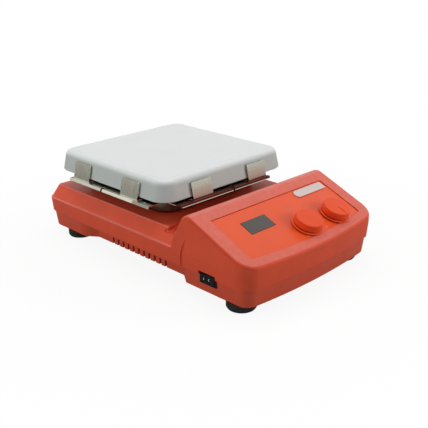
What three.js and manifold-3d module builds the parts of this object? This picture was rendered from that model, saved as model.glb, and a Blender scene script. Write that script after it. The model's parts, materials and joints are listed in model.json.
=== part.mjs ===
// Heated magnetic stirrer, in millimetres, +Z up.
// The control panel faces -Y and the origin is on the table, under the middle of the housing.

import * as THREE from 'three';
import { mergeVertices } from 'three/addons/utils/BufferGeometryUtils.js';
import Module from 'manifold-3d';

const wasm = await Module();
wasm.setup();

// Fits and rounding
const seatGap = 0.3;
const runningGap = 0.5;
const overrun = 2;
const cornerSteps = 5;
const bowSteps = 10;
const roundSides = 20;
const fineSides = 28;
const smallSides = 10;

// Housing, from the foot tops to the deck
const footHeight = 9;
const baseHeight = 21;
const bandHeight = 17.5;
const shoulderHeight = 16;
const wall = 3;
const bandDraft = 1.5;
const deckInset = 11.7;
const rearCorner = 14;
const frontCorner = 19;
const tightestCorner = 1;
const frontBow = 7.5;

// Control head
const frontFaceHeight = 23.2;
const panelTilt = THREE.MathUtils.degToRad(22.85);
const headBackTilt = THREE.MathUtils.degToRad(59);
const headRun = 42.8;
const headBackLean = 1.7;
const ridgeRadius = 12;
const ridgeSteps = 6;
const grooveWidth = 14;
const grooveDepth = 5.6;

// Base cover
const baseStep = 3.5;
const baseTaper = 2.5;
const lipHeight = 4;
const lipWall = 2;
const ventWallInset = 18;
const ventLength = 154;
const ventOffset = 40.5;
const ventEndRun_share = 1.4;
const ventCeiling = 3;
const slotCount = 11;
const slotPitch = 9.45;
const slotWidth = 3.4;
const slotHeight = 12;

// Feet and the screws through them
const footRadius = 16;
const footTaper = 1.5;
const footSideInset = 21.5;
const footFrontInset = 34;
const footRearInset = 39;
const footScrewRadius = 2.3;
const footScrewHeadRadius = 4.6;
const footScrewHeadHeight = 3;
const footWeb = 3;
const footScrewReach = 26;
const footBossRadius = 6.5;

// Heating plate
const plateWidth = 190;
const plateToHead = 8.7;
const plateToRear = 10.2;
const plateCorner = 16;
const plateEdgeRadius = 7;
const plateEdgeSteps = 3;
const plateThickness = 8;
const skirtHeight = 24;
const skirtFlare = 5.2;
const skirtWall = 4;
const skirtClearance = 2.5;
const plateBossRadius = 7;

// Heater, its clamp and the temperature sensor
const heaterInner = 44;
const heaterMargin = 0.7;
const heaterThickness = 7.7;
const terminalRadius = 3;
const terminalDrop = 9;
const terminalSpread = 9;
const clampInset = 2;
const clampThickness = 1.5;
const clampCorner = 8;
const clampHole = 38;
const sensorOffset = 41;
const sensorRadius = 2;
const sensorFlangeRadius = 3.6;
const sensorFlangeThickness = 1.5;

// Heat shield and insulation
const shieldRise = 21;
const sheet = 1;
const panInset = 17;
const panCorner = 22;
const wingOverhang = 8.1;
const wingLongInset = 11;
const wingShortInset = 33;
const wingNotchWidth = 3;
const wingNotchLength = 7;
const lipRun = 3;
const lipDrop = 2.5;
const tabSpacing = 89;
const tabWidth = 30;
const tabHeight = 20;
const tabGap = 1.5;
const reliefWidth = 2.5;
const reliefLength = 5;
const insulationThickness = 15;

// Plate posts and screws
const postInset = 16;
const postRadius = 6;
const plateScrewRadius = 2.2;
const plateScrewHeadRadius = 4.2;
const plateScrewHeadHeight = 3.4;
const plateScrewThread = 5;

// Stirring motor and magnets
const bracketThickness = 3;
const motorRadius = 31;
const motorLength = 35;
const motorWall = 2.5;
const neckRadius = 10;
const neckTopWall = 1.2;
const ringNutRadius = 14;
const deckHoleRadius = 15.5;
const shaftRadius = 3;
const bearingRadius = 7.5;
const bearingWidth = 5;
const cupWall = 2;
const coilThickness = 11;
const coilLength = 20;
const airGap = 0.6;
const rotorLength = 18;
const holderLength = 66;
const holderWidth = 22;
const holderHeight = 14;
const holderRise = 2.5;
const holderFloor = 2.5;
const magnetRadius = 8;
const magnetSpacing = 42;

// Control panel
const overlayThickness = 0.6;
const overlaySink = 0.6;
const overlaySideMargin = 19;
const overlayTopRun = 80;
const overlayFrontMargin = 12;
const overlayCorner = 3;
const displayWidth = 37;
const displayHeight = 18.2;
const displayMargin = 26.6;
const displayToKnob = 15.5;
const displayRun = 54.4;
const displayFrame = 2.5;
const displayModuleBorder = 3.5;
const labelWidth = 50;
const labelHeight = 11;
const labelThickness = 0.6;
const labelRight = 2.5;
const labelTop = 2.2;

// Knobs and encoders
const knobGap = 13;
const knobMargin = 13.7;
const knobRun = 29.3;
const knobRadius = 15.8;
const knobHeight = 7.6;
const knobEdge = 1;
const knobWall = 2.4;
const knobTop = 2.6;
const pressTravel = 0.6;
const collarRadius = 17.8;
const collarFootRadius = 13.5;
const collarHeight = 1.2;
const pointerLength = 12;
const pointerWidth = 1.3;
const pointerDepth = 0.5;
const pointerInset = 1.2;
const hubRadius = 5.5;
const encoderSide = 13;
const encoderHeight = 7;
const encoderBushRadius = 4.2;
const encoderWall = 1.2;
const encoderShaftRadius = 3;
const encoderRotorHeight = 2.4;

// Boards
const boardThickness = 1.6;
const controlBoardInset = 14.5;
const controlBoardFront = 18;
const controlBoardBack = 74;
const standoffRadius = 3.5;
const standoffInset = 5;
const powerBoardInset = 32.5;
const powerBoardDepth = 88;
const powerBoardFront = 22;
const powerBoardLift = 6;
const transformerWidth = 44;
const transformerDepth = 38;
const transformerHeight = 27;
const transformerBase = 3;
const transformerX = 30;
const windingInset = 5;

// Power switch in the left side
const switchLength = 23.5;
const switchHeight = 13.6;
const switchFromFront = 63.7;
const switchCentreDrop = 2.8;
const switchFlange = 1.6;
const switchSink = 1.2;
const switchRim = 1;
const switchBodyDepth = 15;
const rockerThickness = 4.6;
const rockerTilt = THREE.MathUtils.degToRad(9);

// Rear panel with inlet, fuse drawer and sockets
const rearPanelWidth = 152;
const rearPanelThickness = 2;
const rearPanelHeight = 38;
const rearWindowInset = 7;
const rearWindowSill = 5;
const rearWindowHeight = 31;
const inletInset = 31;
const inletWidth = 29;
const inletHeight = 29;
const inletFlange = 1.6;
const inletBodyDepth = 22;
const inletSideWall = 2.5;
const socketHeight = 15.5;
const socketDepth = 16;
const inletTopWall = 2;
const pinWidth = 4;
const pinThickness = 2;
const pinLength = 12;
const pinSpacing = 7;
const pinRise = 2;
const drawerHeight = 6;
const drawerDepth = 18;
const drawerFace = 1.4;
const serialX = 6;
const serialWidth = 31;
const serialHeight = 12.5;
const serialShellWidth = 17;
const serialShellHeight = 8.5;
const serialShellDepth = 5.5;
const serialBodyDepth = 9;
const probeInset = 31;
const probeRadius = 8.5;
const probeBodyRadius = 6.5;
const probeHoleRadius = 4.2;
const probeHoleDepth = 8;
const probeBodyDepth = 13;

// Levels and places that follow
const baseZ = footHeight;
const partingZ = baseZ + baseHeight;
const beltZ = partingZ + bandHeight;
const deckZ = beltZ + shoulderHeight;
const deckUnderZ = deckZ - wall;
const floorZ = baseZ + wall;
const shieldZ = deckZ + shieldRise;
const skirtZ = shieldZ + skirtClearance;
const plateZ = skirtZ + skirtHeight;
const plateUnderZ = plateZ - plateThickness;
const heaterZ = plateUnderZ - seatGap - heaterThickness;
const clampZ = heaterZ - seatGap - clampThickness;
const bracketZ = deckUnderZ - seatGap - bracketThickness;
const overlayWidth = displayMargin + displayWidth + displayToKnob + 4 * collarRadius + knobGap + knobMargin;
const displayX = (displayWidth - overlayWidth) / 2 + displayMargin;
const heatKnobX = displayX + displayWidth / 2 + displayToKnob + collarRadius;
const stirKnobX = heatKnobX + 2 * collarRadius + knobGap;
const housingWidth = overlayWidth + 2 * overlaySideMargin;
const wingReach = plateWidth / 2 + skirtFlare + wingOverhang;
const wingLong = plateWidth / 2 - wingLongInset;
const wingShort = plateWidth / 2 - wingShortInset;
const panWidth = plateWidth - 2 * panInset;
const clampSide = panWidth - 2 * clampInset;
const postSpacing = panWidth - 2 * postInset;
const heaterOuter = postSpacing * Math.SQRT1_2 - plateBossRadius - heaterMargin;
const controlBoardWidth = overlayWidth - 2 * controlBoardInset;
const powerBoardWidth = housingWidth - 2 * powerBoardInset;
const headLength = overlayTopRun * Math.cos(panelTilt) + headRun;
const housingDepth = headLength + plateToHead + 2 * wingReach + plateToRear;
const frontY = -housingDepth / 2;
const rearY = housingDepth / 2;
const sideX = housingWidth / 2;
const plateY = rearY - plateToRear - wingReach;
const ventCentreY = plateY - ventOffset;
const headRearY = frontY + headLength;
const deckFrontY = headRearY + grooveWidth;
const grooveZ = deckZ - grooveDepth;
const frontEdgeZ = partingZ + frontFaceHeight;
const headCeilingZ = frontEdgeZ + headLength * Math.tan(panelTilt);
const bowRadius = (sideX ** 2 + frontBow ** 2) / (2 * frontBow);
const baseInset = baseStep + baseTaper;

// Colours and finishes
const housingPaint = finish(0xd9532f, 0.42, 0.05);
const basePaint = finish(0xc94a2b, 0.5, 0.05);
const overlayOrange = finish(0xe6522a, 0.35, 0);
const knobOrange = finish(0xdd4f2c, 0.45, 0);
const plateCeramic = finish(0xdfe6e4, 0.3, 0);
const stainless = finish(0xb9bab2, 0.3, 1);
const darkGlass = finish(0x4b4d4e, 0.15, 0);
const blackRubber = finish(0x151515, 0.85, 0);
const blackPlastic = finish(0x1b1b1c, 0.45, 0);
const paleSilver = finish(0xd6d4cf, 0.35, 0.6);
const zincSteel = finish(0x9fa3a6, 0.4, 1);
const boardGreen = finish(0x1f5b3a, 0.6, 0);
const brassMetal = finish(0xc0a050, 0.35, 1);
const copperWire = finish(0xb06a38, 0.4, 1);
const woolWhite = finish(0xd9d4c4, 0.95, 0);
const greySteel = finish(0x6f7376, 0.45, 1);
const castGrey = finish(0x8d9092, 0.5, 0.9);

function finish(color, roughness, metalness) {
  return new THREE.MeshStandardMaterial({ color, roughness, metalness });
}

// Solids from three.js geometry, with the faces turned outwards
function solidOf(geometry) {
  const bare = geometry.clone();
  bare.deleteAttribute('normal');
  bare.deleteAttribute('uv');
  const merged = mergeVertices(bare);
  const vertProperties = new Float32Array(merged.attributes.position.array);
  const triVerts = new Uint32Array(merged.index.array);
  if (signedVolume(vertProperties, triVerts) < 0) {
    turnInsideOut(triVerts);
  }
  return new wasm.Manifold(new wasm.Mesh({ numProp: 3, vertProperties, triVerts }));
}

function signedVolume(points, triangles) {
  const corner = [new THREE.Vector3(), new THREE.Vector3(), new THREE.Vector3()];
  let sum = 0;
  for (let first = 0; first < triangles.length; first += 3) {
    corner.forEach((vector, index) => vector.fromArray(points, 3 * triangles[first + index]));
    sum += corner[0].dot(corner[1].clone().cross(corner[2]));
  }
  return sum;
}

function turnInsideOut(triangles) {
  for (let first = 0; first < triangles.length; first += 3) {
    const kept = triangles[first];
    triangles[first] = triangles[first + 1];
    triangles[first + 1] = kept;
  }
}

function geometryOf(solid) {
  const mesh = solid.getMesh();
  const geometry = new THREE.BufferGeometry();
  geometry.setAttribute('position', new THREE.BufferAttribute(new Float32Array(mesh.vertProperties), 3));
  geometry.setIndex(new THREE.BufferAttribute(new Uint32Array(mesh.triVerts), 1));
  geometry.computeVertexNormals();
  return geometry;
}

function join(...solids) {
  return solids.reduce((whole, next) => whole.add(next));
}

function cut(solid, ...tools) {
  return tools.reduce((whole, tool) => whole.subtract(tool), solid);
}

function common(first, second) {
  return first.intersect(second);
}

// Basic shapes, each given by its limits
function block([x0, x1], [y0, y1], [z0, z1]) {
  const geometry = new THREE.BoxGeometry(x1 - x0, y1 - y0, z1 - z0);
  geometry.translate((x0 + x1) / 2, (y0 + y1) / 2, (z0 + z1) / 2);
  return solidOf(geometry);
}

function disc(radius, [z0, z1], x, y, sides = roundSides) {
  const geometry = new THREE.CylinderGeometry(radius, radius, z1 - z0, sides);
  geometry.rotateX(Math.PI / 2);
  geometry.translate(x, y, (z0 + z1) / 2);
  return solidOf(geometry);
}

function rod(radius, [y0, y1], x, z, sides = roundSides) {
  const geometry = new THREE.CylinderGeometry(radius, radius, y1 - y0, sides);
  geometry.translate(x, (y0 + y1) / 2, z);
  return solidOf(geometry);
}

function turned(profile, x, y, sides = fineSides) {
  const points = profile.map(([radius, z]) => new THREE.Vector2(radius, z));
  const geometry = new THREE.LatheGeometry(points, sides);
  geometry.rotateX(Math.PI / 2);
  geometry.translate(x, y, 0);
  return solidOf(geometry);
}

function ring(inner, outer, [z0, z1], x, y, sides = fineSides) {
  return turned([[inner, z0], [outer, z0], [outer, z1], [inner, z1], [inner, z0]], x, y, sides);
}

function slab(shape, [z0, z1]) {
  const settings = { depth: z1 - z0, bevelEnabled: false, curveSegments: cornerSteps };
  const geometry = new THREE.ExtrudeGeometry(shape, settings);
  geometry.translate(0, 0, z0);
  return solidOf(geometry);
}

function shapeOf(points) {
  return new THREE.Shape(points.map(([x, y]) => new THREE.Vector2(x, y)));
}

// A prism along X from an outline in Y and Z
function prismX(points, [x0, x1]) {
  const settings = { depth: x1 - x0, bevelEnabled: false };
  const geometry = new THREE.ExtrudeGeometry(shapeOf(points), settings);
  const alongX = new THREE.Matrix4().makeBasis(
    new THREE.Vector3(0, 1, 0), new THREE.Vector3(0, 0, 1), new THREE.Vector3(1, 0, 0));
  geometry.applyMatrix4(alongX);
  geometry.translate(x0, 0, 0);
  return solidOf(geometry);
}

function roundedRect(halfX, halfY, radius, x = 0, y = 0) {
  const shape = new THREE.Shape();
  const cornerX = halfX - radius;
  const cornerY = halfY - radius;
  shape.absarc(x + cornerX, y + cornerY, radius, 0, Math.PI / 2);
  shape.absarc(x - cornerX, y + cornerY, radius, Math.PI / 2, Math.PI);
  shape.absarc(x - cornerX, y - cornerY, radius, Math.PI, 1.5 * Math.PI);
  shape.absarc(x + cornerX, y - cornerY, radius, 1.5 * Math.PI, 2 * Math.PI);
  return shape;
}

function arcPoints(x, y, radius, from, to, steps) {
  return Array.from({ length: steps + 1 }, (_, step) => {
    const angle = from + (to - from) * step / steps;
    return [x + radius * Math.cos(angle), y + radius * Math.sin(angle)];
  });
}

// A closed solid through outlines that all have the same number of points
function loft(levels) {
  const count = levels[0].points.length;
  const position = levels.flatMap(({ points, z }) => points.flatMap(([x, y]) => [x, y, z]));
  const index = [];
  for (let level = 0; level < levels.length - 1; level += 1) {
    for (let point = 0; point < count; point += 1) {
      const next = (point + 1) % count;
      const low = level * count;
      const high = low + count;
      index.push(low + point, low + next, high + next, low + point, high + next, high + point);
    }
  }
  const contour = levels[0].points.map(([x, y]) => new THREE.Vector2(x, y));
  const top = (levels.length - 1) * count;
  for (const [a, b, c] of THREE.ShapeUtils.triangulateShape(contour, [])) {
    index.push(a, c, b, top + a, top + b, top + c);
  }
  const geometry = new THREE.BufferGeometry();
  geometry.setAttribute('position', new THREE.Float32BufferAttribute(position, 3));
  geometry.setIndex(index);
  return solidOf(geometry);
}

// The housing's outline from above, drawn in by an inset, with its bowed front
function housingOutline(inset) {
  const halfX = sideX - inset;
  const rear = rearY - inset;
  const rearRadius = Math.max(rearCorner - inset, tightestCorner);
  const frontRadius = Math.max(frontCorner - inset, tightestCorner);
  const bowY = frontY + bowRadius;
  const cornerX = halfX - frontRadius;
  const cornerY = bowY - Math.sqrt((bowRadius - inset - frontRadius) ** 2 - cornerX ** 2);
  const turn = Math.atan2(bowY - cornerY, cornerX);
  const bow = arcPoints(0, bowY, bowRadius - inset, Math.PI + turn, 2 * Math.PI - turn, bowSteps);
  return [
    ...arcPoints(halfX - rearRadius, rear - rearRadius, rearRadius, 0, Math.PI / 2, cornerSteps),
    ...arcPoints(rearRadius - halfX, rear - rearRadius, rearRadius, Math.PI / 2, Math.PI, cornerSteps),
    ...arcPoints(-cornerX, cornerY, frontRadius, Math.PI, Math.PI + turn, cornerSteps),
    ...bow.slice(1, -1),
    ...arcPoints(cornerX, cornerY, frontRadius, 2 * Math.PI - turn, 2 * Math.PI, cornerSteps),
  ];
}

function housingLoft(levels) {
  return loft(levels.map(([inset, z]) => ({ points: housingOutline(inset), z })));
}

function bowAt(x) {
  return bowRadius - Math.sqrt(bowRadius ** 2 - x ** 2);
}

// The head seen from the side, with its panel, rounded ridge and back slope, drawn in by an inset
function headProfile(inset) {
  const panelAt = (y) => frontEdgeZ + Math.tan(panelTilt) * (y - frontY) - inset / Math.cos(panelTilt);
  const backY = headRearY - headBackLean;
  const backAt = (y) => grooveZ - Math.tan(headBackTilt) * (y - backY) - inset / Math.cos(headBackTilt);
  const slopes = Math.tan(panelTilt) + Math.tan(headBackTilt);
  const apexY = frontY + (backAt(frontY) - panelAt(frontY)) / slopes;
  const radius = ridgeRadius - inset;
  const halfAngle = (Math.PI - panelTilt - headBackTilt) / 2;
  const fromPanel = Math.PI / 2 + panelTilt;
  const fromBack = Math.PI / 2 - headBackTilt;
  const bisector = (fromPanel + fromBack) / 2;
  const reach = radius / Math.sin(halfAngle);
  const ridgeY = apexY - reach * Math.cos(bisector);
  const ridgeZ = panelAt(apexY) - reach * Math.sin(bisector);
  const lowZ = partingZ - overrun;
  const startY = frontY - overrun;
  const endY = headRearY - inset;
  return [
    [startY, lowZ],
    [startY, panelAt(startY)],
    ...arcPoints(ridgeY, ridgeZ, radius, fromPanel, fromBack, ridgeSteps),
    [endY, backAt(endY)],
    [endY, lowZ],
  ];
}

// The control head and the deck behind it, drawn in by an inset and running down to a level
function housingBody(inset, lowZ) {
  const across = [-sideX - overrun, sideX + overrun];
  const upright = housingLoft([
    [bandDraft + inset, lowZ],
    [inset, beltZ],
    [inset, headCeilingZ],
  ]);
  const head = common(upright, prismX(headProfile(inset), across));
  const shouldered = housingLoft([
    [bandDraft + inset, lowZ],
    [inset, beltZ],
    [deckInset + inset, deckZ - inset],
  ]);
  const behind = block(across, [headRearY - inset - overrun, rearY], [lowZ, deckZ]);
  const groove = block(
    across, [headRearY - inset - 2 * overrun, deckFrontY + inset], [grooveZ - inset, headCeilingZ]);
  return join(head, cut(common(shouldered, behind), groove));
}

// Places of the feet and of the plate's posts, with their names
const footPlaces = [
  ['front_left', footSideInset - sideX, frontY + footFrontInset],
  ['front_right', sideX - footSideInset, frontY + footFrontInset],
  ['rear_left', footSideInset - sideX, rearY - footRearInset],
  ['rear_right', sideX - footSideInset, rearY - footRearInset],
];
const postPlaces = [
  ['front_left', -postSpacing / 2, plateY - postSpacing / 2],
  ['front_right', postSpacing / 2, plateY - postSpacing / 2],
  ['rear_left', -postSpacing / 2, plateY + postSpacing / 2],
  ['rear_right', postSpacing / 2, plateY + postSpacing / 2],
];

// The sloped panel has a frame of its own: X across, Y up the slope and Z out of the panel
const panelPlace = new THREE.Matrix4()
  .makeTranslation(0, frontY, frontEdgeZ)
  .multiply(new THREE.Matrix4().makeRotationX(panelTilt));

function onPanel(solid) {
  const geometry = geometryOf(solid);
  geometry.applyMatrix4(panelPlace);
  return solidOf(geometry);
}

const stirrer = new THREE.Group();
const controlPanel = new THREE.Group();
controlPanel.applyMatrix4(panelPlace);
stirrer.add(controlPanel);

function addPiece(name, solid, material, parent = stirrer) {
  const mesh = new THREE.Mesh(geometryOf(solid), material);
  mesh.name = name;
  parent.add(mesh);
}

// Levels in the panel's frame, counted from its rim
const overlayTopN = -overlaySink;
const overlayUnderN = overlayTopN - overlayThickness;
const pocketN = overlayUnderN - seatGap;
const panelUnderN = -wall;
const encoderTopN = panelUnderN - seatGap;
const encoderUnderN = encoderTopN - encoderHeight;
const boardTopN = encoderUnderN - seatGap;
const collarUnderN = overlayTopN + seatGap;
const collarTopN = seatGap + collarHeight;
const knobUnderN = collarTopN + seatGap + pressTravel;
const knobTopN = knobUnderN + knobHeight;
const knobCavityN = knobTopN - knobTop;
const bushTopN = collarTopN;
const shaftTopN = knobCavityN - seatGap;

// The overlay's outline in the panel's frame, with its lower edge bowed like the front
function overlayShape(shrink) {
  const halfX = sideX - overlaySideMargin - shrink;
  const lowerAt = (x) => overlayFrontMargin + shrink + bowAt(x) / Math.cos(panelTilt);
  const top = overlayTopRun - shrink;
  const cornerX = halfX - overlayCorner;
  const low = lowerAt(cornerX) + overlayCorner;
  const lower = Array.from({ length: bowSteps + 1 }, (_, step) => {
    const x = cornerX * (2 * step / bowSteps - 1);
    return [x, lowerAt(x)];
  });
  const right = arcPoints(cornerX, low, overlayCorner, 1.5 * Math.PI, 2 * Math.PI, cornerSteps);
  const left = arcPoints(-cornerX, low, overlayCorner, Math.PI, 1.5 * Math.PI, cornerSteps);
  const topY = top - overlayCorner;
  return shapeOf([
    ...left.slice(0, -1),
    ...lower,
    ...right.slice(1),
    ...arcPoints(cornerX, topY, overlayCorner, 0, Math.PI / 2, cornerSteps),
    ...arcPoints(-cornerX, topY, overlayCorner, Math.PI / 2, Math.PI, cornerSteps),
  ]);
}

function displayBox(margin, depths) {
  const halfX = displayWidth / 2 + margin;
  const halfY = displayHeight / 2 + margin;
  return block([displayX - halfX, displayX + halfX], [displayRun - halfY, displayRun + halfY], depths);
}

// Everything that is cut out of the sloped panel, in the panel's frame
function panelCuts() {
  const pocket = slab(overlayShape(0), [pocketN, overrun]);
  const display = displayBox(-displayFrame, [panelUnderN - overrun, overrun]);
  const bushHoles = [heatKnobX, stirKnobX].map(
    (x) => disc(encoderBushRadius + seatGap, [panelUnderN - overrun, overrun], x, knobRun));
  return join(pocket, display, ...bushHoles);
}

const boardHolds = [-1, 1].flatMap((side) => [
  [side * (controlBoardWidth / 2 - standoffInset), controlBoardFront + standoffInset],
  [side * (controlBoardWidth / 2 - standoffInset), controlBoardBack - standoffInset],
]);

// Levels and limits of the side switch
const switchY = frontY + switchFromFront;
const switchZ = partingZ - switchCentreDrop;
const switchSeatX = -sideX + baseStep + switchSink;

function switchPocket() {
  const halfY = switchLength / 2 + seatGap;
  const halfZ = switchHeight / 2 + seatGap;
  const seat = block(
    [-sideX - overrun, switchSeatX], [switchY - halfY, switchY + halfY], [switchZ - halfZ, switchZ + halfZ]);
  const holeY = halfY - switchRim;
  const holeZ = halfZ - switchRim;
  const through = block(
    [-sideX - overrun, -sideX + baseStep + lipWall + 2 * wall],
    [switchY - holeY, switchY + holeY], [switchZ - holeZ, switchZ + holeZ]);
  return join(seat, through);
}

// The opening in the rear walls, behind which the rear panel stands
const rearPanelY = rearY - baseInset - wall - seatGap;
const rearFaceY = rearPanelY + seatGap;
const rearWindowWidth = rearPanelWidth - 2 * rearWindowInset;
const inletX = inletInset - rearPanelWidth / 2;
const probeX = rearPanelWidth / 2 - probeInset;
const windowZ = baseZ + rearWindowSill;
const socketRowZ = windowZ + rearWindowHeight / 2;

function rearWindow() {
  return block(
    [-rearWindowWidth / 2, rearWindowWidth / 2], [rearPanelY, rearY + overrun],
    [windowZ, windowZ + rearWindowHeight]);
}

function footBosses(shell) {
  const low = floorZ + seatGap;
  return footPlaces.map(([, x, y]) => {
    const upper = common(disc(footBossRadius, [partingZ, headCeilingZ], x, y, smallSides), shell);
    const lower = disc(footBossRadius, [low, partingZ + wall], x, y, smallSides);
    return join(upper, lower);
  });
}

function upperHousing() {
  const shell = housingBody(0, partingZ);
  const hollow = housingBody(wall, partingZ - overrun);
  const standoff = [boardTopN + seatGap, panelUnderN + seatGap];
  const board = boardHolds.map(
    ([x, run]) => onPanel(disc(standoffRadius, standoff, x, run, smallSides)));
  const solid = join(cut(shell, hollow), ...footBosses(shell), ...board);
  const footHoles = footPlaces.map(([, x, y]) => disc(
    footScrewRadius + seatGap, [baseZ, floorZ + footScrewReach + overrun], x, y, smallSides));
  const postHoles = postPlaces.map(([, x, y]) => disc(
    plateScrewRadius + seatGap, [deckUnderZ - overrun, deckZ + overrun], x, y, smallSides));
  const shaftHole = disc(deckHoleRadius, [deckUnderZ - overrun, deckZ + overrun], 0, plateY);
  return cut(
    solid, onPanel(panelCuts()), switchPocket(), rearWindow(), ...footHoles, ...postHoles, shaftHole);
}

// Vent recess along one side, cut in from outside by a margin
function ventRecess(side, margin) {
  const nearX = sideX - ventWallInset - margin;
  const farX = sideX + overrun;
  const run = (farX - nearX) * ventEndRun_share;
  const low = ventCentreY - ventLength / 2 - margin;
  const high = ventCentreY + ventLength / 2 + margin;
  const corners = [[nearX, low], [farX, low - run], [farX, high + run], [nearX, high]];
  const outline = shapeOf(corners.map(([x, y]) => [side * x, y]));
  return slab(outline, [baseZ - overrun, partingZ - ventCeiling + margin]);
}

function ventSlots(side) {
  const wallX = side * (sideX - ventWallInset);
  const across = [wallX - wall - overrun, wallX + wall + overrun];
  return Array.from({ length: slotCount }, (_, slot) => {
    const y = ventCentreY + (slot - (slotCount - 1) / 2) * slotPitch;
    return block(across, [y - slotWidth / 2, y + slotWidth / 2], [baseZ - overrun, baseZ + slotHeight]);
  });
}

// The power board's place in the base
const powerBoardZ = floorZ + powerBoardLift;
const powerBoardLimits = {
  x: [-powerBoardWidth / 2, powerBoardWidth / 2],
  y: [frontY + powerBoardFront, frontY + powerBoardFront + powerBoardDepth],
};

function boardPosts() {
  return powerBoardLimits.x.flatMap((x) => powerBoardLimits.y.map((y) => {
    const centreX = x - Math.sign(x) * standoffInset;
    const centreY = y === powerBoardLimits.y[0] ? y + standoffInset : y - standoffInset;
    return disc(standoffRadius, [floorZ - wall / 2, powerBoardZ - seatGap], centreX, centreY, smallSides);
  }));
}

function baseCover() {
  const rimZ = partingZ - seatGap;
  const outside = housingLoft([[baseInset, baseZ], [baseStep, rimZ]]);
  const lipInset = bandDraft + wall + seatGap;
  const innerInset = lipInset + lipWall;
  const lip = housingLoft([[lipInset, partingZ - wall], [lipInset, partingZ + lipHeight]]);
  const inside = housingLoft([
    [baseInset + wall, floorZ],
    [innerInset, partingZ - wall],
    [innerInset, partingZ + lipHeight + overrun],
  ]);
  const margins = join(ventRecess(1, wall), ventRecess(-1, wall));
  const solid = cut(join(outside, lip), cut(inside, margins));
  const recesses = [ventRecess(1, 0), ventRecess(-1, 0)];
  const slots = [...ventSlots(1), ...ventSlots(-1)];
  const screwHoles = footPlaces.map(
    ([, x, y]) => disc(footScrewRadius + seatGap, [baseZ - overrun, floorZ + overrun], x, y, smallSides));
  const bossRooms = footPlaces.map(
    ([, x, y]) => disc(footBossRadius + seatGap, [floorZ, partingZ + lipHeight + overrun], x, y, smallSides));
  return cut(
    join(solid, ...boardPosts()), ...recesses, ...slots, ...screwHoles, ...bossRooms,
    switchPocket(), rearWindow());
}

// Feet and their screws
const footScrewSeatZ = footHeight - footWeb;

function foot(x, y) {
  const body = turned(
    [[0, 0], [footRadius - footTaper, 0], [footRadius, footTaper], [footRadius, footHeight - seatGap],
      [0, footHeight - seatGap]], x, y, roundSides);
  const well = disc(footScrewHeadRadius + runningGap, [-overrun, footScrewSeatZ], x, y, smallSides);
  const hole = disc(footScrewRadius + seatGap, [-overrun, footHeight + overrun], x, y, smallSides);
  return cut(body, well, hole);
}

function screw(headRadius, headLimits, shankRadius, tipZ, x, y) {
  const head = disc(headRadius, headLimits, x, y, smallSides);
  const shank = disc(shankRadius, [headLimits[0], tipZ], x, y, smallSides);
  return join(head, shank);
}

function addFeet() {
  for (const [place, x, y] of footPlaces) {
    addPiece(`foot_${place}`, foot(x, y), blackRubber);
    const headTop = footScrewSeatZ - seatGap;
    const fastener = screw(
      footScrewHeadRadius, [headTop - footScrewHeadHeight, headTop], footScrewRadius,
      floorZ + footScrewReach, x, y);
    addPiece(`foot_screw_${place}`, fastener, zincSteel);
  }
}

// Heating plate with its flared skirt
function skirtHalf(z) {
  const straight = skirtHeight - plateEdgeRadius;
  return plateWidth / 2 + skirtFlare * (plateZ - plateEdgeRadius - z) / straight;
}

function squareOutline(half, radius) {
  const centre = half - radius;
  const quarter = (x, y, from) => arcPoints(x, y, radius, from, from + Math.PI / 2, cornerSteps);
  return [
    ...quarter(centre, plateY + centre, 0),
    ...quarter(-centre, plateY + centre, Math.PI / 2),
    ...quarter(-centre, plateY - centre, Math.PI),
    ...quarter(centre, plateY - centre, 1.5 * Math.PI),
  ];
}

function topPlate() {
  const edge = Array.from({ length: plateEdgeSteps + 1 }, (_, step) => {
    const angle = step / plateEdgeSteps * Math.PI / 2;
    const inset = plateEdgeRadius * (1 - Math.cos(angle));
    const z = plateZ - plateEdgeRadius * (1 - Math.sin(angle));
    return { points: squareOutline(plateWidth / 2 - inset, plateCorner - inset), z };
  });
  const skirtFoot = { points: squareOutline(skirtHalf(skirtZ), plateCorner + skirtFlare), z: skirtZ };
  const outside = loft([skirtFoot, ...edge]);
  const innerRadius = plateCorner - skirtWall;
  const inside = loft([
    { points: squareOutline(skirtHalf(skirtZ - overrun) - skirtWall, innerRadius), z: skirtZ - overrun },
    { points: squareOutline(skirtHalf(plateUnderZ) - skirtWall, innerRadius), z: plateUnderZ },
  ]);
  const bosses = postPlaces.map(
    ([, x, y]) => disc(plateBossRadius, [heaterZ, plateUnderZ + wall], x, y, roundSides));
  const holes = postPlaces.map(([, x, y]) => disc(
    plateScrewRadius + seatGap, [heaterZ - overrun, heaterZ + plateScrewThread + seatGap], x, y, smallSides));
  return cut(join(cut(outside, inside), ...bosses), ...holes);
}

const terminalPlaces = [-1, 1].map((side) => [
  side * terminalSpread, plateY + (heaterInner + heaterOuter) / 2,
]);

function heatingElement() {
  const body = ring(heaterInner, heaterOuter, [heaterZ, heaterZ + heaterThickness], 0, plateY);
  const studs = terminalPlaces.map(
    ([x, y]) => disc(terminalRadius, [heaterZ - terminalDrop, heaterZ + wall], x, y, smallSides));
  return join(body, ...studs);
}

function heaterClamp() {
  const plate = slab(roundedRect(clampSide / 2, clampSide / 2, clampCorner, 0, plateY),
    [clampZ, clampZ + clampThickness]);
  const through = [clampZ - overrun, heaterZ + overrun];
  const holes = [
    disc(clampHole, through, 0, plateY, fineSides),
    disc(sensorRadius + seatGap, through, sensorOffset, plateY, smallSides),
    ...terminalPlaces.map(([x, y]) => disc(terminalRadius + runningGap, through, x, y, smallSides)),
    ...postPlaces.map(([, x, y]) => disc(plateScrewRadius + seatGap, through, x, y, smallSides)),
  ];
  return cut(plate, ...holes);
}

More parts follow.
